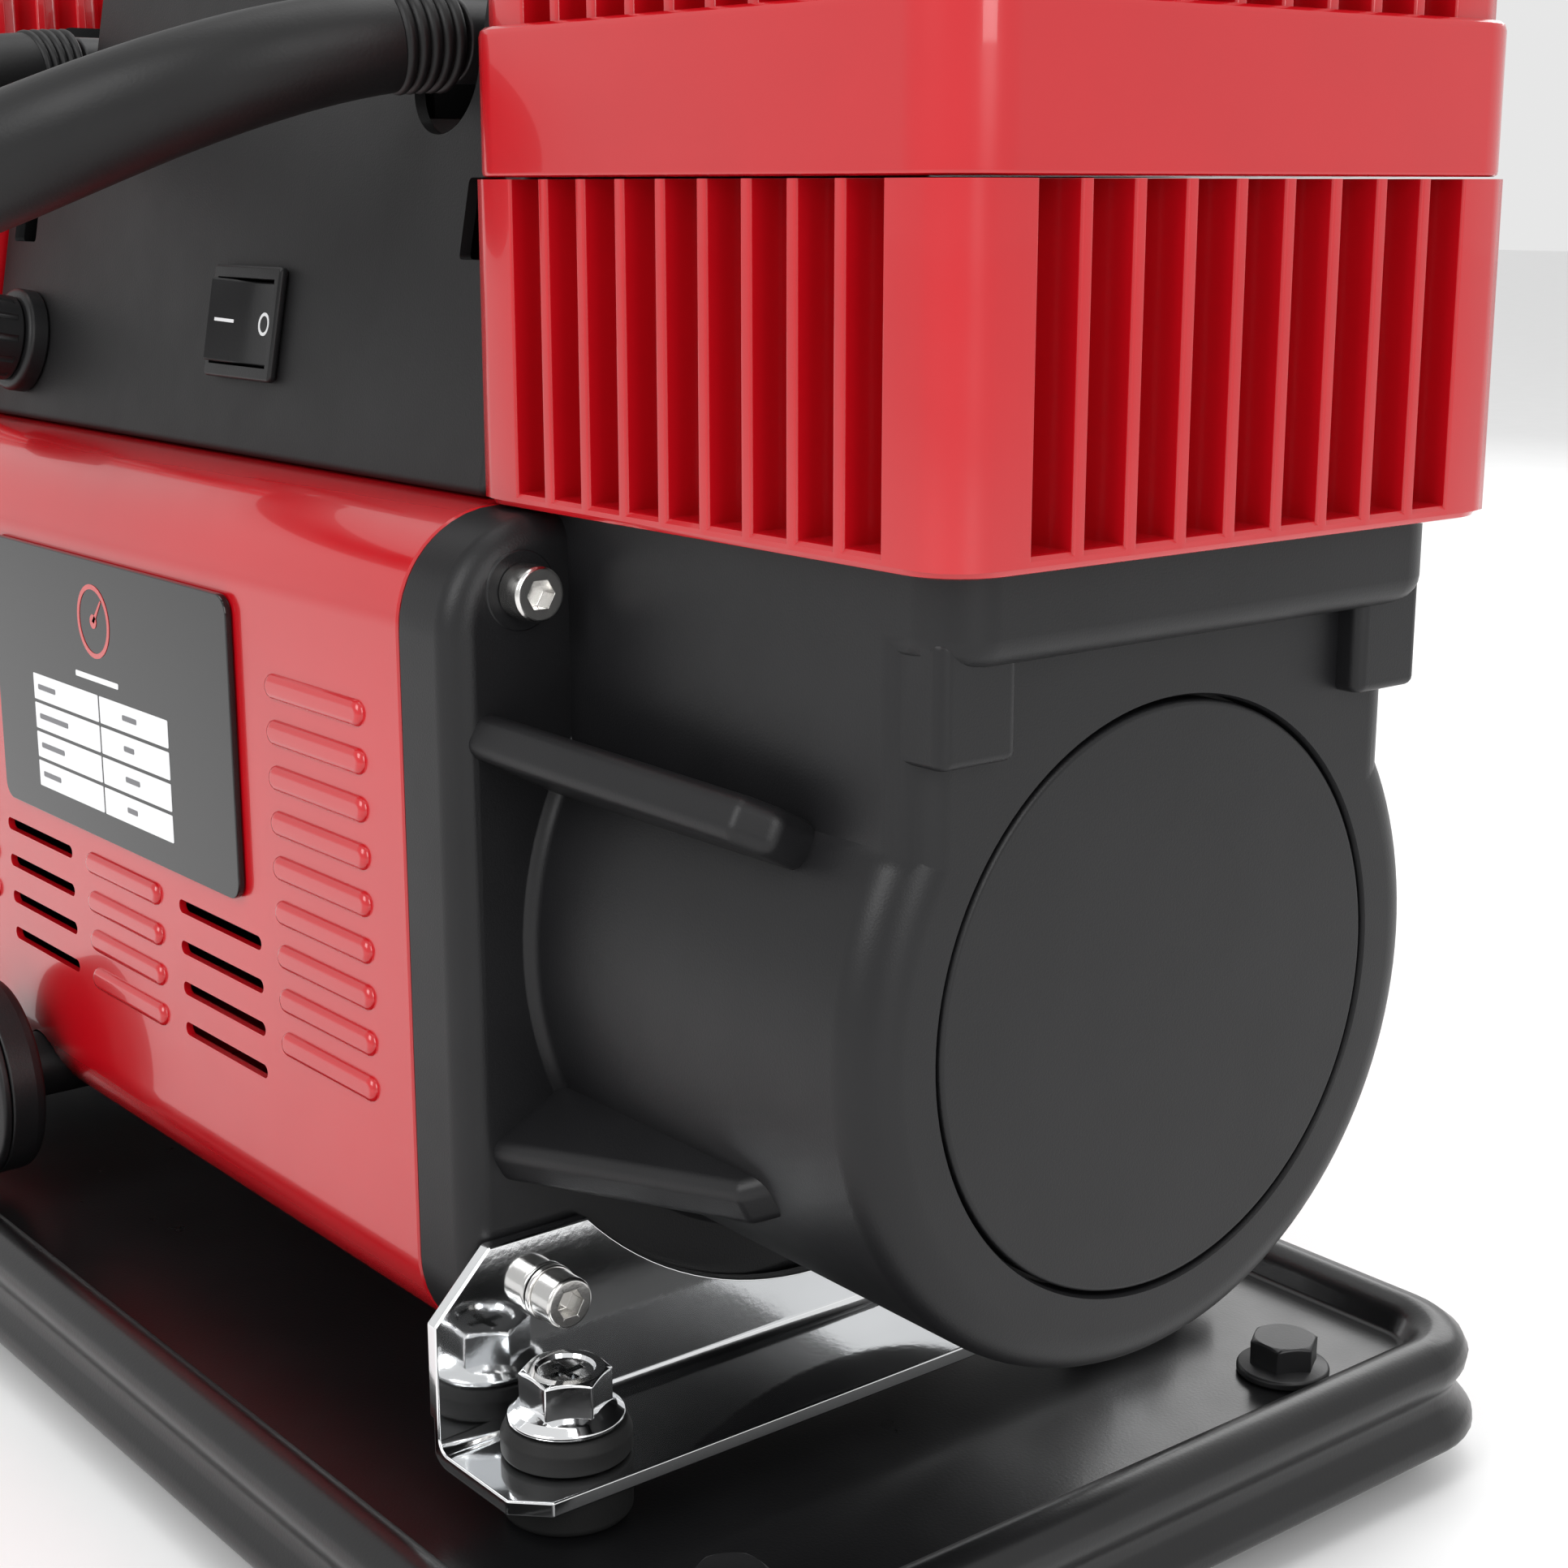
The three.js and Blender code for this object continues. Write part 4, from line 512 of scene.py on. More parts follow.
def build_crankcase(side, sign):
    plate_top = case_high.z - 0.2

    def plate_ring(inset, x):
        outline = rounded_rect(inset - BODY_HALF, case_low.z + inset, BODY_HALF - inset, plate_top - inset,
                               BODY_CORNER - inset, 10)
        return [(x, y, z) for y, z in outline]

    rings = [plate_ring(0.6, PLATE_START), plate_ring(0, PLATE_START + 0.6)]
    rings += [plate_ring(inset, PLATE_END - back) for inset, back in edge_arc(PLATE_EDGE)]
    case = loft("crankcase_" + side + "_fine", rings)

    drum = turned("drum", [(0, PLATE_START + 5), (74, PLATE_START + 5), (74, PLATE_END - 0.15, 0.5),
                           (DRUM_RADIUS, PLATE_END - 0.1, 5), (DRUM_RADIUS, DRUM_END, 8.5),
                           (0, DRUM_END)], "x", (0, 0, SHAFT_Z), 128, 8)
    deck_low = case_high.z - DECK_THICKNESS
    neck = prism("neck", soften([
        (PLATE_START + 6, -DECK_HALF), (DRUM_END, -DECK_HALF, 8), (DRUM_END, DECK_HALF, 8),
        (PLATE_START + 6, DECK_HALF)], 8), SHAFT_Z, deck_low + 7, "z")

    def deck_ring(inset, z):
        outline = rounded_rect(CYLINDER_X - DECK_HALF + inset, inset - DECK_HALF,
                               CYLINDER_X + DECK_HALF - inset, DECK_HALF - inset, 10 - inset * 0.6, 8)
        return [(x, y, z) for x, y in outline]

    deck = loft("deck", [deck_ring(inset, deck_low + back) for inset, back in reversed(edge_arc(5))]
                + [deck_ring(0, case_high.z - 0.5), deck_ring(0.5, case_high.z)])
    parts = [drum, neck, deck]
    for s in (-1, 1):
        pad = prism("pad", rounded_rect(DRUM_END - 8, s * PAD_Y - PAD_HALF_WIDTH, DRUM_END + 5,
                                        s * PAD_Y + PAD_HALF_WIDTH, 2.4, 5),
                    case_high.z - 30.5, deck_low + 5, "z")
        parts.append(bevelled(pad, 1.6, 4, 50))
        for angle, crest, tip, length, thick in RIBS:
            outline = soften([(0, 60), (0, crest + 1), (length - 5, tip, 3), (length, tip - 5, 4),
                              (length, 60)], 6)
            rib = prism("rib", outline, -thick / 2, thick / 2, "z")
            bevelled(rib, 3.2, 5, 30)
            a = math.radians(angle if s > 0 else 180 - angle)
            turn = Matrix(((1, 0, 0, 0), (0, math.cos(a), -math.sin(a), 0), (0, math.sin(a), math.cos(a), 0),
                           (0, 0, 0, 1)))
            rib.data.transform(turn)
            parts.append(move(rib, (PLATE_END - 4, 0, SHAFT_Z)))
        boss_z = middle("plate_screw_front_right").z
        boss_y = s * abs(middle("plate_screw_rear_right").y - ORIGIN_Y)
        parts.append(turned("boss", [(0, PLATE_END - 3), (8.4, PLATE_END - 3), (7.2, PLATE_END + 0.2, 0.4),
                                     (0, PLATE_END + 0.2)], "x", (0, boss_y, boss_z), 40))
    join(case, *parts)
    chamber = turned("chamber", [
        (0, PLATE_END + 8), (CHAMBER_RADIUS, PLATE_END + 8), (CHAMBER_RADIUS, DRUM_END - 6),
        (DISC_SEAT_RADIUS, DRUM_END - 6), (DISC_SEAT_RADIUS, DRUM_END - 0.9, 0.6), (53.6, DRUM_END + 1),
        (0, DRUM_END + 1)], "x", (0, 0, SHAFT_Z), 128)
    seat = turned("seat", [(0, PLATE_START - 1), (16.4, PLATE_START - 1), (16.4, PLATE_END - 1.6),
                           (8, PLATE_END - 1.6), (8, PLATE_END + 9), (0, PLATE_END + 9)],
                  "x", (0, 0, SHAFT_Z), 48)
    throat = rod("throat", BORE_RADIUS + 1, SHAFT_Z, case_high.z + 1, "z", (CYLINDER_X, 0, 0), 64)
    cut(case, chamber, seat, throat)
    finish_piece(mirrored(case, sign), CASE, ["crankcase_" + side], smooth=32)

    disc = turned("crankcase_cover_" + side + "_fine",
                  [(0, disc_low.x), (DISC_RADIUS, disc_low.x, 0.3), (DISC_RADIUS, DRUM_END - 0.1, 1.0),
                   (0, DRUM_END - 0.1)],
                  "x", (0, 0, SHAFT_Z), 128)
    finish_piece(mirrored(disc, sign), CASE, ["crankcase_cover_" + side])


# ---- cylinders and heads ----------------------------------------------------------------------------
FINS = 8
FIN = 2.8  # thickness
HEAD_SCREW_FROM_SIDE = 13


def finned_square(half, depth=11.0, pillar=16.0, corner=CYLINDER_CORNER):
    """A square outline with round-cornered pillars and a comb of fins along each side."""
    comb = half - pillar
    pitch = (2 * comb + FIN) / (FINS + 1)
    root = half - depth
    quarter = [(half, -comb, 0.6), (root, -comb, 1.6)]
    for i in range(1, FINS + 1):
        centre = -comb - FIN / 2 + i * pitch
        quarter += [(root, centre - FIN / 2 - 0.35, 1.6), (half, centre - FIN / 2 + 0.1, 0.7),
                    (half, centre + FIN / 2 - 0.1, 0.7), (root, centre + FIN / 2 + 0.35, 1.6)]
    quarter += [(root, comb, 1.6), (half, comb, 0.6), (half, half, corner)]
    points = []
    for quarter_turn in range(4):
        a = quarter_turn * math.pi / 2
        points += [(u * math.cos(a) - v * math.sin(a), u * math.sin(a) + v * math.cos(a), r)
                   for u, v, r in quarter]
    return soften(points, 3)


def square_ring(half, radius, z):
    return [(x, y, z) for x, y in rounded_rect(-half, -half, half, half, radius, 12)]


def build_cylinder(side, sign):
    low, high = cylinder_low.z, cylinder_high.z
    barrel = prism("cylinder_" + side + "_fine", finned_square(CYLINDER_HALF), low + 1.2, high - 0.05, "z")
    lip = loft("lip", [square_ring(CYLINDER_HALF - inset, CYLINDER_CORNER - inset, low + z) for inset, z in
                       ((1.4, 0), (0.5, 0.3), (0.05, 1.1), (0.05, 2.0), (0.6, 2.7), (1.6, 3.0))])
    join(barrel, lip)
    cut(barrel, rod("bore", BORE_RADIUS, low - 1, high + 1, "z", segments=96))
    finish_piece(move(barrel, (sign * CYLINDER_X, 0, 0)), RED, ["cylinder_" + side], smooth=32)


def build_head(side, sign):
    low, high = head_low.z, head_high.z
    band_top = low + HEAD_BAND_HEIGHT
    rows = ((0.7, low), (0.15, low + 0.3), (0, low + 0.9), (0, band_top - 1.6), (0.3, band_top - 0.6),
            (1.0, band_top - 0.1), (1.6, band_top))
    rings = [square_ring(HEAD_HALF - inset, CYLINDER_CORNER + 1 - inset, z) for inset, z in rows]
    band = loft("head_" + side + "_fine", rings)
    fins = prism("fins", finned_square(HEAD_HALF - 2.5), band_top - 1, high, "z")
    join(band, fins)
    tools = [rod("seat", 36.4, low - 1, low + 3.4, "z", segments=72),
             rod("port", 6.4, -HEAD_HALF - 1, 8.4 - HEAD_HALF, "x", (0, PIPE_Y, PIPE_Z), 32)]
    reach = HEAD_HALF - HEAD_SCREW_FROM_SIDE
    spots = [(sx * reach, sy * reach) for sx, sy in CORNERS.values()]
    tools += [rod("counterbore", 5.6, high - 7, high + 1, "z", (x, y, 0), 32) for x, y in spots]
    cut(band, *tools)
    move(mirrored(band, sign), (sign * CYLINDER_X, 0, 0))
    finish_piece(band, RED, ["head_" + side], smooth=32)
    for i, (x, y) in enumerate(spots):
        name = "head_screw_%s_%d" % (side, i)
        screw = rod(name, SCREW_RADIUS, high - 6.8, high - 0.9, "z", segments=48, edge=0.6)
        cut(screw, hexagonal_socket(high - 4.2, high, "z"))
        move(screw, (sign * CYLINDER_X + x, y, 0))
        finish_piece(screw, STAINLESS)


# ---- motor cover and label --------------------------------------------------------------------------
SLOT_PITCH = 9.2
SLOT_ROWS = 4
SLOT_X = 46.5
SIDE_ROWS = 9
SIDE_X = 92
LOUVER_WIDTH = 37.5
LOUVER_HALF_HEIGHT = 2.6
LOUVER_SKIN = [(0.4, -1.0), (0.0, 0.0), (0.15, 0.55), (0.75, 1.05), (1.5, 1.2)]  # (inset, rise)


def stadium(centre, half_width, half_height):
    radius = half_height * 0.98
    x, z = centre
    return rounded_rect(x - half_width, z - half_height, x + half_width, z + half_height, radius, 6)


def build_motor_cover():
    low, high = cover_low.z, cover_high.z

    def ring(inset, x):
        return [(x, y, z) for y, z in rounded_rect(inset - BODY_HALF, low + inset, BODY_HALF - inset,
                                                   high - inset, BODY_CORNER - inset, 14)]

    cover = loft("motor_cover_fine", [ring(0.4, -COVER_END), ring(0, 0.4 - COVER_END),
                                      ring(0, COVER_END - 0.4), ring(0.4, COVER_END)])
    label = middle("label_plate")
    label_low, _ = box("label_plate")
    first_row = label_low.z - 8
    bumps = []
    louvers = [(0, first_row - row * SLOT_PITCH) for row in range(SLOT_ROWS)]
    louvers += [(s * SIDE_X, label.z + 15.5 - row * SLOT_PITCH) for s in (-1, 1) for row in range(SIDE_ROWS)]
    for facing in (-1, 1):
        for x, z in louvers:
            skin = []
            for inset, rise in LOUVER_SKIN:
                outline = stadium((x, z), LOUVER_WIDTH / 2 - inset, LOUVER_HALF_HEIGHT - inset)
                skin.append([(u, facing * (BODY_HALF + rise), v) for u, v in outline])
            bumps.append(loft("louver", skin))
    join(cover, *bumps)
    slots = [prism("slot", stadium((s * SLOT_X, first_row - row * SLOT_PITCH), LOUVER_WIDTH / 2, 1.5),
                   -BODY_HALF - 2, BODY_HALF + 2, "-y") for s in (-1, 1) for row in range(SLOT_ROWS)]
    inner = loft("inner", [ring(COVER_WALL, -COVER_END - 1), ring(COVER_WALL, COVER_END + 1)])
    stub = middle("air_filter_cap")
    hole = rod("stub_hole", 8.4, 0, BODY_HALF + 1, "-y", (stub.x, 0, stub.z), 40)
    cut(cover, inner, *slots, hole)
    finish_piece(cover, RED, ["motor_cover"], smooth=35)


def build_label():
    low, high = box("label_plate")
    face = BODY_HALF + GAP
    top = face + LABEL_THICKNESS
    plate = prism("label_plate_fine", rounded_rect(low.x, low.z, high.x, high.z, 4, 8), face, top, "-y")
    bevelled(plate, 0.3, 2, 50)
    finish_piece(plate, LABEL, ["label_plate"])

    def ink(name, outline, material, lift=0.12):
        mark = prism(name, outline, top - 0.2, top + lift, "-y")
        finish_piece(mark, material)

    def rect(x0, z0, x1, z1, radius=0.3):
        return rounded_rect(x0, z0, x1, z1, radius, 2)

    left, right, bottom, row = -38.7, 31.0, low.z + 6.1, 6.85
    split = left + 35.5
    for i in range(4):
        z = bottom + i * row
        ink("label_cell_left_%d" % i, rect(left, z + 0.4, split - 0.4, z + row - 0.4), INK_WHITE)
        ink("label_cell_right_%d" % i, rect(split + 0.4, z + 0.4, right, z + row - 0.4), INK_WHITE)
        left_dash = rect(left + 2.5, z + 2.9, left + 12 + 3 * (i % 3), z + 4.1)
        right_dash = rect(split + 12, z + 2.9, split + 17 + 2 * (i % 2), z + 4.1)
        ink("label_dash_left_%d" % i, left_dash, INK_GREY, 0.2)
        ink("label_dash_right_%d" % i, right_dash, INK_GREY, 0.2)
    # A plain emblem: a pressure dial, made of a ring, a needle and a hub.
    centre_x, centre_z, radius = -3.5, low.z + 49.5, 8.2

    def disc(r, steps=40, start=0.0, end=2 * math.pi):
        return [(centre_x + r * math.cos(start + (end - start) * k / steps),
                 centre_z + r * math.sin(start + (end - start) * k / steps)) for k in range(steps)]

    dial = prism("label_dial", disc(radius), top - 0.2, top + 0.12, "-y")
    cut(dial, prism("hole", disc(radius - 1.1), top - 1, top + 1, "-y"))
    finish_piece(dial, INK_RED)
    ink("label_hub", disc(1.6, 24), INK_RED)
    ink("label_needle", [(centre_x - 0.5, centre_z), (centre_x + 0.5, centre_z - 0.4),
                         (centre_x + 4.6, centre_z + 4.8), (centre_x + 4.2, centre_z + 5.1)], INK_RED)
    ink("label_line", rect(centre_x - 11, low.z + 36, centre_x + 11, low.z + 37.3), INK_WHITE)


# ---- shroud, switch and gland -----------------------------------------------------------------------
def shroud_space(name, inset):
    half, top = SHROUD_HALF - inset, shroud_high.z - inset
    bottom = shroud_low.z - (1 if inset else 0)
    shoulder = SHROUD_SHOULDER - inset
    front = soften([(-half, bottom), (half, bottom), (half, top, shoulder), (-half, top, shoulder)], 20)
    whole = prism(name, front, -SHROUD_DEPTH - 2, SHROUD_DEPTH + 2, "-y")

    def reach(z):
        return SHROUD_DEPTH - (z - shroud_low.z) * math.tan(LEAN) - inset

    wedge = prism("wedge", [(-reach(bottom), bottom), (reach(bottom), bottom), (reach(top), top),
                            (-reach(top), top)], -half - 2, half + 2, "x")
    return combine(whole, [wedge], "INTERSECT")


def panel_matrix(x, z):
    """A frame on the leaning front panel whose -Y looks out of it."""
    y = -SHROUD_DEPTH + (z - shroud_low.z) * math.tan(LEAN)
    return Matrix.Translation(Vector((x, y, z)) * MM) @ Matrix.Rotation(-LEAN, 4, "X")


SWITCH = panel_matrix(middle("switch_bezel").x, shroud_low.z + SWITCH_ABOVE_BASE)
GLAND = panel_matrix(middle("cable_gland").x, shroud_low.z + GLAND_ABOVE_BASE)


def placed(obj, matrix):
    obj.data.transform(matrix)
    return obj


ROCKER_TILT = math.radians(11)
SLOT_HALF = 11.4
SLOT_BEHIND_PIVOT = 17.5  # room for the grip's round collar at the end of its swing


def build_shroud():
    shroud = shroud_space("shroud_fine", 0)
    bevelled(shroud, 2.2, 4, 40)
    cut(shroud, shroud_space("inside", SHROUD_WALL))
    webs = []
    for s in (-1, 1):
        near, far = s * (ARM_X - 15.8), s * (ARM_X - 11.8)
        webs.append(block("web", (min(near, far), PIVOT_Y - 12, PIVOT_Z - 14),
                          (max(near, far), PIVOT_Y + 12, shroud_high.z - 1.5)))
    webs = [combine(web, [shroud_space("limit", 0.5)], "INTERSECT") for web in webs]
    join(shroud, *webs)
    tools = []
    for s in (-1, 1):
        x = s * ARM_X
        bottom = PIVOT_Z - 17.4
        slot = soften([(x - SLOT_HALF, bottom, SLOT_HALF - 0.2), (x + SLOT_HALF, bottom, SLOT_HALF - 0.2),
                       (x + SLOT_HALF, PIVOT_Z + 40), (x - SLOT_HALF, PIVOT_Z + 40)], 12)
        tools.append(prism("handle_slot", slot, -PIVOT_Y - SLOT_BEHIND_PIVOT, SHROUD_DEPTH + 5, "-y"))
        x = s * (SHROUD_HALF - WINDOW_FROM_END)
        window = rounded_rect(x - WINDOW_HALF_WIDTH, shroud_low.z + WINDOW_BOTTOM, x + WINDOW_HALF_WIDTH,
                              shroud_low.z + WINDOW_TOP, 1, 3)
        tools.append(prism("window", window, 35, SHROUD_DEPTH + 5, "-y"))
    tools.append(placed(block("switch_hole", (-14.1, -9, -11.1), (14.1, 9, 11.1)), SWITCH))
    tools.append(placed(rod("gland_hole", 8.3, -9, 9, "-y"), GLAND))
    tools.append(rod("pipe_hole", 6.5, -SHROUD_HALF - 1, SHROUD_HALF + 1, "x", (0, PIPE_Y, PIPE_Z), 40))
    tools.append(rod("coupler_hole", 7.9, -SHROUD_DEPTH - 2, -PIPE_Y - 12, "-y", (0, 0, PIPE_Z), 40))
    tools.append(rod("axle_hole", 4.4, -ARM_X, ARM_X, "x", (0, PIVOT_Y, PIVOT_Z), 40))
    cut(shroud, *tools)
    finish_piece(shroud, SHROUD, ["shroud"], smooth=35)


def build_switch():
    bezel = prism("switch_bezel_fine", rounded_rect(-15, -12, 15, 12, 1.2, 4), GAP, 2.3, "-y")
    bevelled(bezel, 0.7, 3, 50)
    join(bezel, block("can", (-13.8, -1.2, -10.8), (13.8, 14, 10.8)))
    cut(bezel, block("well", (-12.8, -9, -9.3), (12.8, 12.5, 9.3)))
    finish_piece(placed(bezel, SWITCH), PLASTIC, ["switch_bezel"])

    half, half_z, end, valley, pivot = 11.2, 8.8, 7.5, 5.2, 4.0

    def surface_y(x):
        return -(valley + (end - valley) * (abs(x) / half) ** 1.5)

    top = [half * (k / 8 - 1) for k in range(17)]
    outline = [(x, surface_y(x), 0) for x in top]
    outline += [(half - 0.8, -1, 0.5), (half * 0.5, 4, 1), (-half * 0.5, 4, 1), (0.8 - half, -1, 0.5)]
    rocker = prism("switch_rocker_fine", soften(outline, 4), -half_z, half_z, "z")
    bevelled(rocker, 0.5, 3, 50)
    tilt = SWITCH @ Matrix.Translation((0, pivot * MM, 0)) @ Matrix.Rotation(ROCKER_TILT, 4, "Z")
    finish_piece(placed(rocker, tilt), PLASTIC, ["switch_rocker"], "rocker")

    def on_rocker(name, points, closed):
        """Ink that follows the rocker's curved face, from sections of four points each."""
        verts = [(u, surface_y(u) + w, v) for u, v, w in points]
        count = len(points) // 4
        faces = []
        for i in range(count if closed else count - 1):
            a, b = 4 * i, 4 * ((i + 1) % count)
            faces += [(a + k, a + (k + 1) % 4, b + (k + 1) % 4, b + k) for k in range(4)]
        if not closed:
            faces += [(3, 2, 1, 0), tuple(4 * (count - 1) + k for k in range(4))]
        mark = solid(name, verts, faces)
        finish_piece(placed(mark, tilt), INK_WHITE, (), "rocker")

    bar = []
    for k in range(7):
        x = -9.2 + 5.0 * k / 6
        bar += [(x, -0.35, 0.1), (x, 0.35, 0.1), (x, 0.35, -0.08), (x, -0.35, -0.08)]
    on_rocker("switch_mark_on", bar, False)
    circle = []
    for k in range(32):
        a = 2 * math.pi * k / 32
        for r, w in ((1.75, 0.1), (2.45, 0.1), (2.45, -0.08), (1.75, -0.08)):
            circle.append((6.6 + r * math.cos(a), r * math.sin(a), w))
    on_rocker("switch_mark_off", circle, True)


def build_gland():
    gland = turned("cable_gland_fine", [
        (4, -12), (8, -12, 0.5), (8, GAP), (12.5, GAP, 0.5), (12.5, 5.3, 1.5), (8, 5.3), (8, 8.3, 0.4),
        (4, 8.3)], "-y", segments=56)
    finish_piece(placed(gland, GLAND), PLASTIC, ["cable_gland"])
    nut = turned("gland_nut_fine", [
        (8.3, 5.6), (10.3, 5.6, 0.4), (10.3, 13, 1), (7.4, 17.6, 1.5), (4, 17.6, 0.6), (4, 9.2), (8.3, 9.2)],
        "-y", segments=56)
    grooves = []
    for k in range(12):
        a = 2 * math.pi * k / 12
        grooves.append(rod("groove", 1.1, 7, 14, "-y", (10.9 * math.cos(a), 0, 10.9 * math.sin(a)), 16))
    cut(nut, *grooves)
    finish_piece(placed(nut, GLAND), PLASTIC, ["gland_nut"])


# ---- carrying handle --------------------------------------------------------------------------------
ARM_LENGTH = 15.3
REACH = 86.0
DROP = 30.7
TUBE_RADIUS = 5
BARE_END = 0.006  # share of the bow left bare at each end
COLLAR_LENGTH = 11.5
COLLAR_RADIUS = 8.9
COLLAR_RIBS = 5
RIB_HEIGHT = 0.95
GRIP_END_RADIUS = 8.7
GRIP_SWELL = 3.8  # how much thicker the grip is at its middle
GRIP_BORE = 5.6


def bow_point(t):
    out = REACH * math.sin(t * math.pi)
    return Vector((ARM_X * math.cos(t * math.pi), PIVOT_Y - ARM_LENGTH - out,
                   PIVOT_Z - DROP * (out / REACH) ** 2))


def bow_ring(t, radius, sides=36):
    centre = bow_point(t)
    along = (bow_point(t + 0.001) - bow_point(t - 0.001)).normalized()
    side = (Vector((0, 0, 1)) - along * along.z).normalized()
    other = along.cross(side)
    return [centre + side * radius * math.cos(a) + other * radius * math.sin(a)
            for a in (2 * math.pi * i / sides for i in range(sides))]


def build_handle():
    span = COLLAR_LENGTH / (math.pi * REACH)
    start = BARE_END
    outer = []
    rib_steps = COLLAR_RIBS * 6
    for k in range(rib_steps + 1):
        t = start + span * k / rib_steps
        wave = abs(math.sin(math.pi * COLLAR_RIBS * k / rib_steps)) ** 0.6
        outer.append((t, COLLAR_RADIUS + RIB_HEIGHT * wave))
    bare = [start + span + (1 - 2 * start - 2 * span) * k / 64 for k in range(65)]
    middle_part = [(t, GRIP_END_RADIUS + GRIP_SWELL * math.sin(t * math.pi)) for t in bare]
    profile = outer + middle_part + [(1 - t, r) for t, r in reversed(outer)]
    rings = [bow_ring(t, r) for t, r in profile]
    rings += [bow_ring(t, GRIP_BORE) for t, _ in reversed(profile)]
    grip = loft("handle_grip_fine", rings, ring=True)
    finish_piece(grip, GRIP, ["handle_grip"], "carry_handle", smooth=60)

    stations = [0, start] + bare[::4] + [1 - start, 1]
    rod_part = loft("handle_frame_fine", [bow_ring(t, TUBE_RADIUS, 24) for t in stations])
    parts = []
    for s in (-1, 1):
        x = s * ARM_X
        parts.append(rod("hub", 9, -8, 8, "x", (x, PIVOT_Y, PIVOT_Z), 48, 1.2))
        parts.append(rod("arm", 8, 0, ARM_LENGTH + 0.2, "-y", (x, PIVOT_Y, PIVOT_Z), 48, 0.8))
    join(rod_part, *parts)
    cut(rod_part, rod("axle_hole", 4.35, -140, 140, "x", (0, PIVOT_Y, PIVOT_Z), 40))
    finish_piece(rod_part, BLACK_STEEL, ["handle_frame"], "carry_handle", smooth=40)


# ---- intake filter and outlet -----------------------------------------------------------------------
FILTER_LENGTH = 8.5
COUPLER_OUTSIDE = 20  # its length beyond the shroud's rear panel
COLLAR_HALF_ACROSS = 11


def build_filter():
    centre = middle("air_filter_cap")
    body_low, body_high = box("air_filter_body")
    face = -(body_low.y - ORIGIN_Y)
    back = face - FILTER_LENGTH
    radius = (body_high.x - body_low.x) / 2
    body = turned("air_filter_body_fine", [
        (0, BODY_HALF - 14), (8, BODY_HALF - 14, 0.6), (8, back), (radius - 0.5, back, 1.6),
        (radius, back + 2.5, 1), (radius, face, 0.6), (radius - 4, face), (radius - 4, back + 4),
        (0, back + 4)],
        "-y", (centre.x, 0, centre.z), 72)
    finish_piece(body, PLASTIC, ["air_filter_body"])
    cap = turned("air_filter_cap_fine", [
        (0, face + GAP), (radius, face + GAP, 0.4), (radius, face + 2.2, 0.9),
        (radius - 2.5, face + 2.8, 0.8), (radius - 5, face + 2.2, 0.8), (radius - 8, face + 2.4, 0.6),
        (radius - 9.5, face + 1.4, 0.6), (radius - 13, face + 1.5, 0.6), (radius - 15, face + 2.7, 0.8),
        (0, face + 3)],
        "-y", (centre.x, 0, centre.z), 72)
    finish_piece(cap, PLASTIC, ["air_filter_cap"])


def build_outlet():
    low, high = box("outlet_coupler")
    start, end = low.y - ORIGIN_Y, high.y - ORIGIN_Y
    panel = end - COUPLER_OUTSIDE
    z = (low.z + high.z) / 2
    coupler = turned("outlet_coupler_fine", [
        (4, -start), (6, -start, 0.4), (7.5, -start - 2, 0.4), (7.5, -panel), (8, -panel), (8, -panel - 7.5),
        (7.2, -panel - 8.2, 0.3), (7.2, -panel - 11, 0.4), (6.3, -panel - 12, 0.4), (6.3, -panel - 15, 0.4),
        (7.5, -panel - 16.5, 0.6), (7.5, -end, 0.6), (4, -end, 0.4)], "-y", segments=56)
    radius = COLLAR_HALF_ACROSS / math.cos(math.pi / 6)
    angles = [a * math.pi / 3 + 0.52 for a in range(6)]
    outline = [(radius * math.cos(a), radius * math.sin(a)) for a in angles]
    collar = prism("collar", outline, -panel - 7.4, -panel - 0.2, "-y")
    bevelled(collar, 0.6, 3, 40)
    cut(collar, rod("hole", 5, -100, 100, "-y"))
    join(coupler, collar)
    finish_piece(move(coupler, (0, 0, z)), BRASS, ["outlet_coupler"])


# ---- carried-over CAD nodes -------------------------------------------------------------------------
def paint_inner_nodes():
    slot_of = {part["node"]: part["material_slot"] for part in frame["record"]["subparts"]}
    for name, node in frame["nodes"].items():
        material = FOR_SLOT[slot_of[name]]
        if not node.material_slots:
            node.data.materials.append(material)
        for material_slot in node.material_slots:
            material_slot.material = material


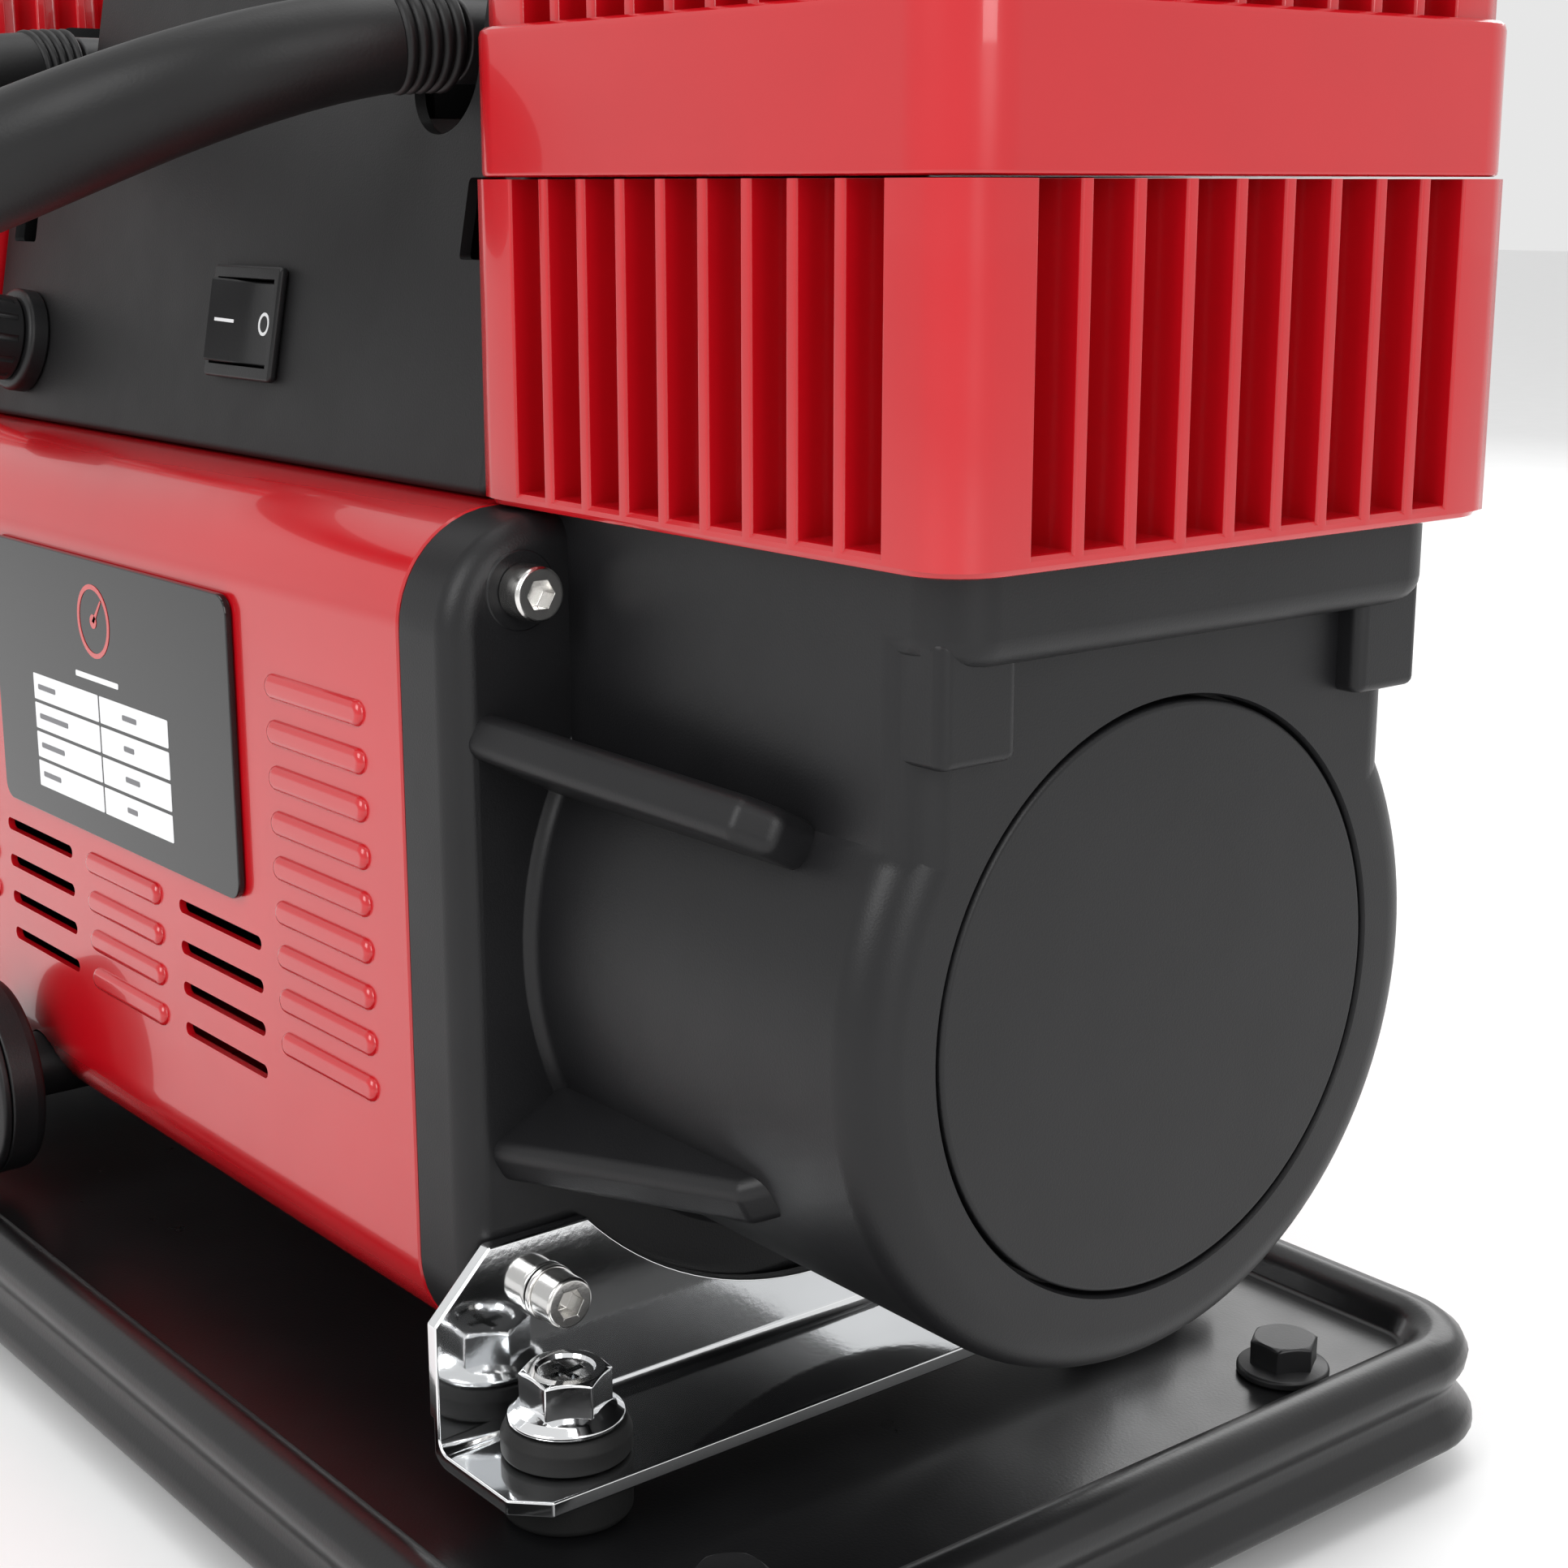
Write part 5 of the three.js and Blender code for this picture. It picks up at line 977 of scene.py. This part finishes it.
# ---- stage ------------------------------------------------------------------------------------------
def area_light(name, place, target, width, height, power):
    light = bpy.data.lights.new(name, "AREA")
    light.shape = "RECTANGLE"
    light.size, light.size_y, light.energy = width, height, power
    obj = bpy.data.objects.new(name, light)
    obj.location = place
    obj.rotation_euler = (Vector(target) - Vector(place)).to_track_quat("-Z", "Y").to_euler()
    bpy.context.collection.objects.link(obj)


def build_stage():
    reach, level = 9000, -0.4
    corners = [(-reach, -reach, level), (reach, -reach, level), (reach, reach, level),
               (-reach, reach, level)]
    floor = solid("floor", corners, [(0, 1, 2, 3)])
    pale = surface("pale_floor", (0.86, 0.86, 0.86), 0.6, 0, 0, 200, 0.02, 0.01, 0.03)
    floor.data.materials.append(pale)
    world = bpy.data.worlds.new("studio")
    world.use_nodes = True
    world.node_tree.nodes["Background"].inputs["Color"].default_value = (1, 1, 1, 1)
    world.node_tree.nodes["Background"].inputs["Strength"].default_value = 0.8
    bpy.context.scene.world = world
    bpy.context.scene.view_settings.view_transform = "Standard"
    area_light("key", (0.3, -1.6, 1.3), (0.05, 0, 0.15), 0.9, 1.2, 17)
    area_light("side", (1.9, -0.3, 1.0), (0.2, 0, 0.15), 0.7, 1.3, 13)
    area_light("top", (0.0, 0.3, 1.9), (0.0, 0, 0.2), 1.6, 1.2, 12)
    area_light("back", (-0.6, 1.8, 1.0), (0, 0, 0.2), 1.4, 0.8, 9)


def build_camera():
    camera = bpy.data.cameras.new("camera")
    camera.lens = 57.87
    camera.sensor_width = 36
    camera.clip_start = 0.01
    obj = bpy.data.objects.new("camera", camera)
    obj.location = (0.5141, -0.3086 + ORIGIN_Y * MM, 0.2623)
    obj.rotation_euler = (math.radians(76.67), 0, math.radians(51.16))
    bpy.context.collection.objects.link(obj)
    bpy.context.scene.camera = obj


build_camera()
build_stage()
paint_inner_nodes()
build_tray()
build_fastenings()
for side, sign in SIDES.items():
    build_crankcase(side, sign)
    build_cylinder(side, sign)
    build_head(side, sign)
build_motor_cover()
build_label()
build_shroud()
build_switch()
build_gland()
build_handle()
build_filter()
build_outlet()
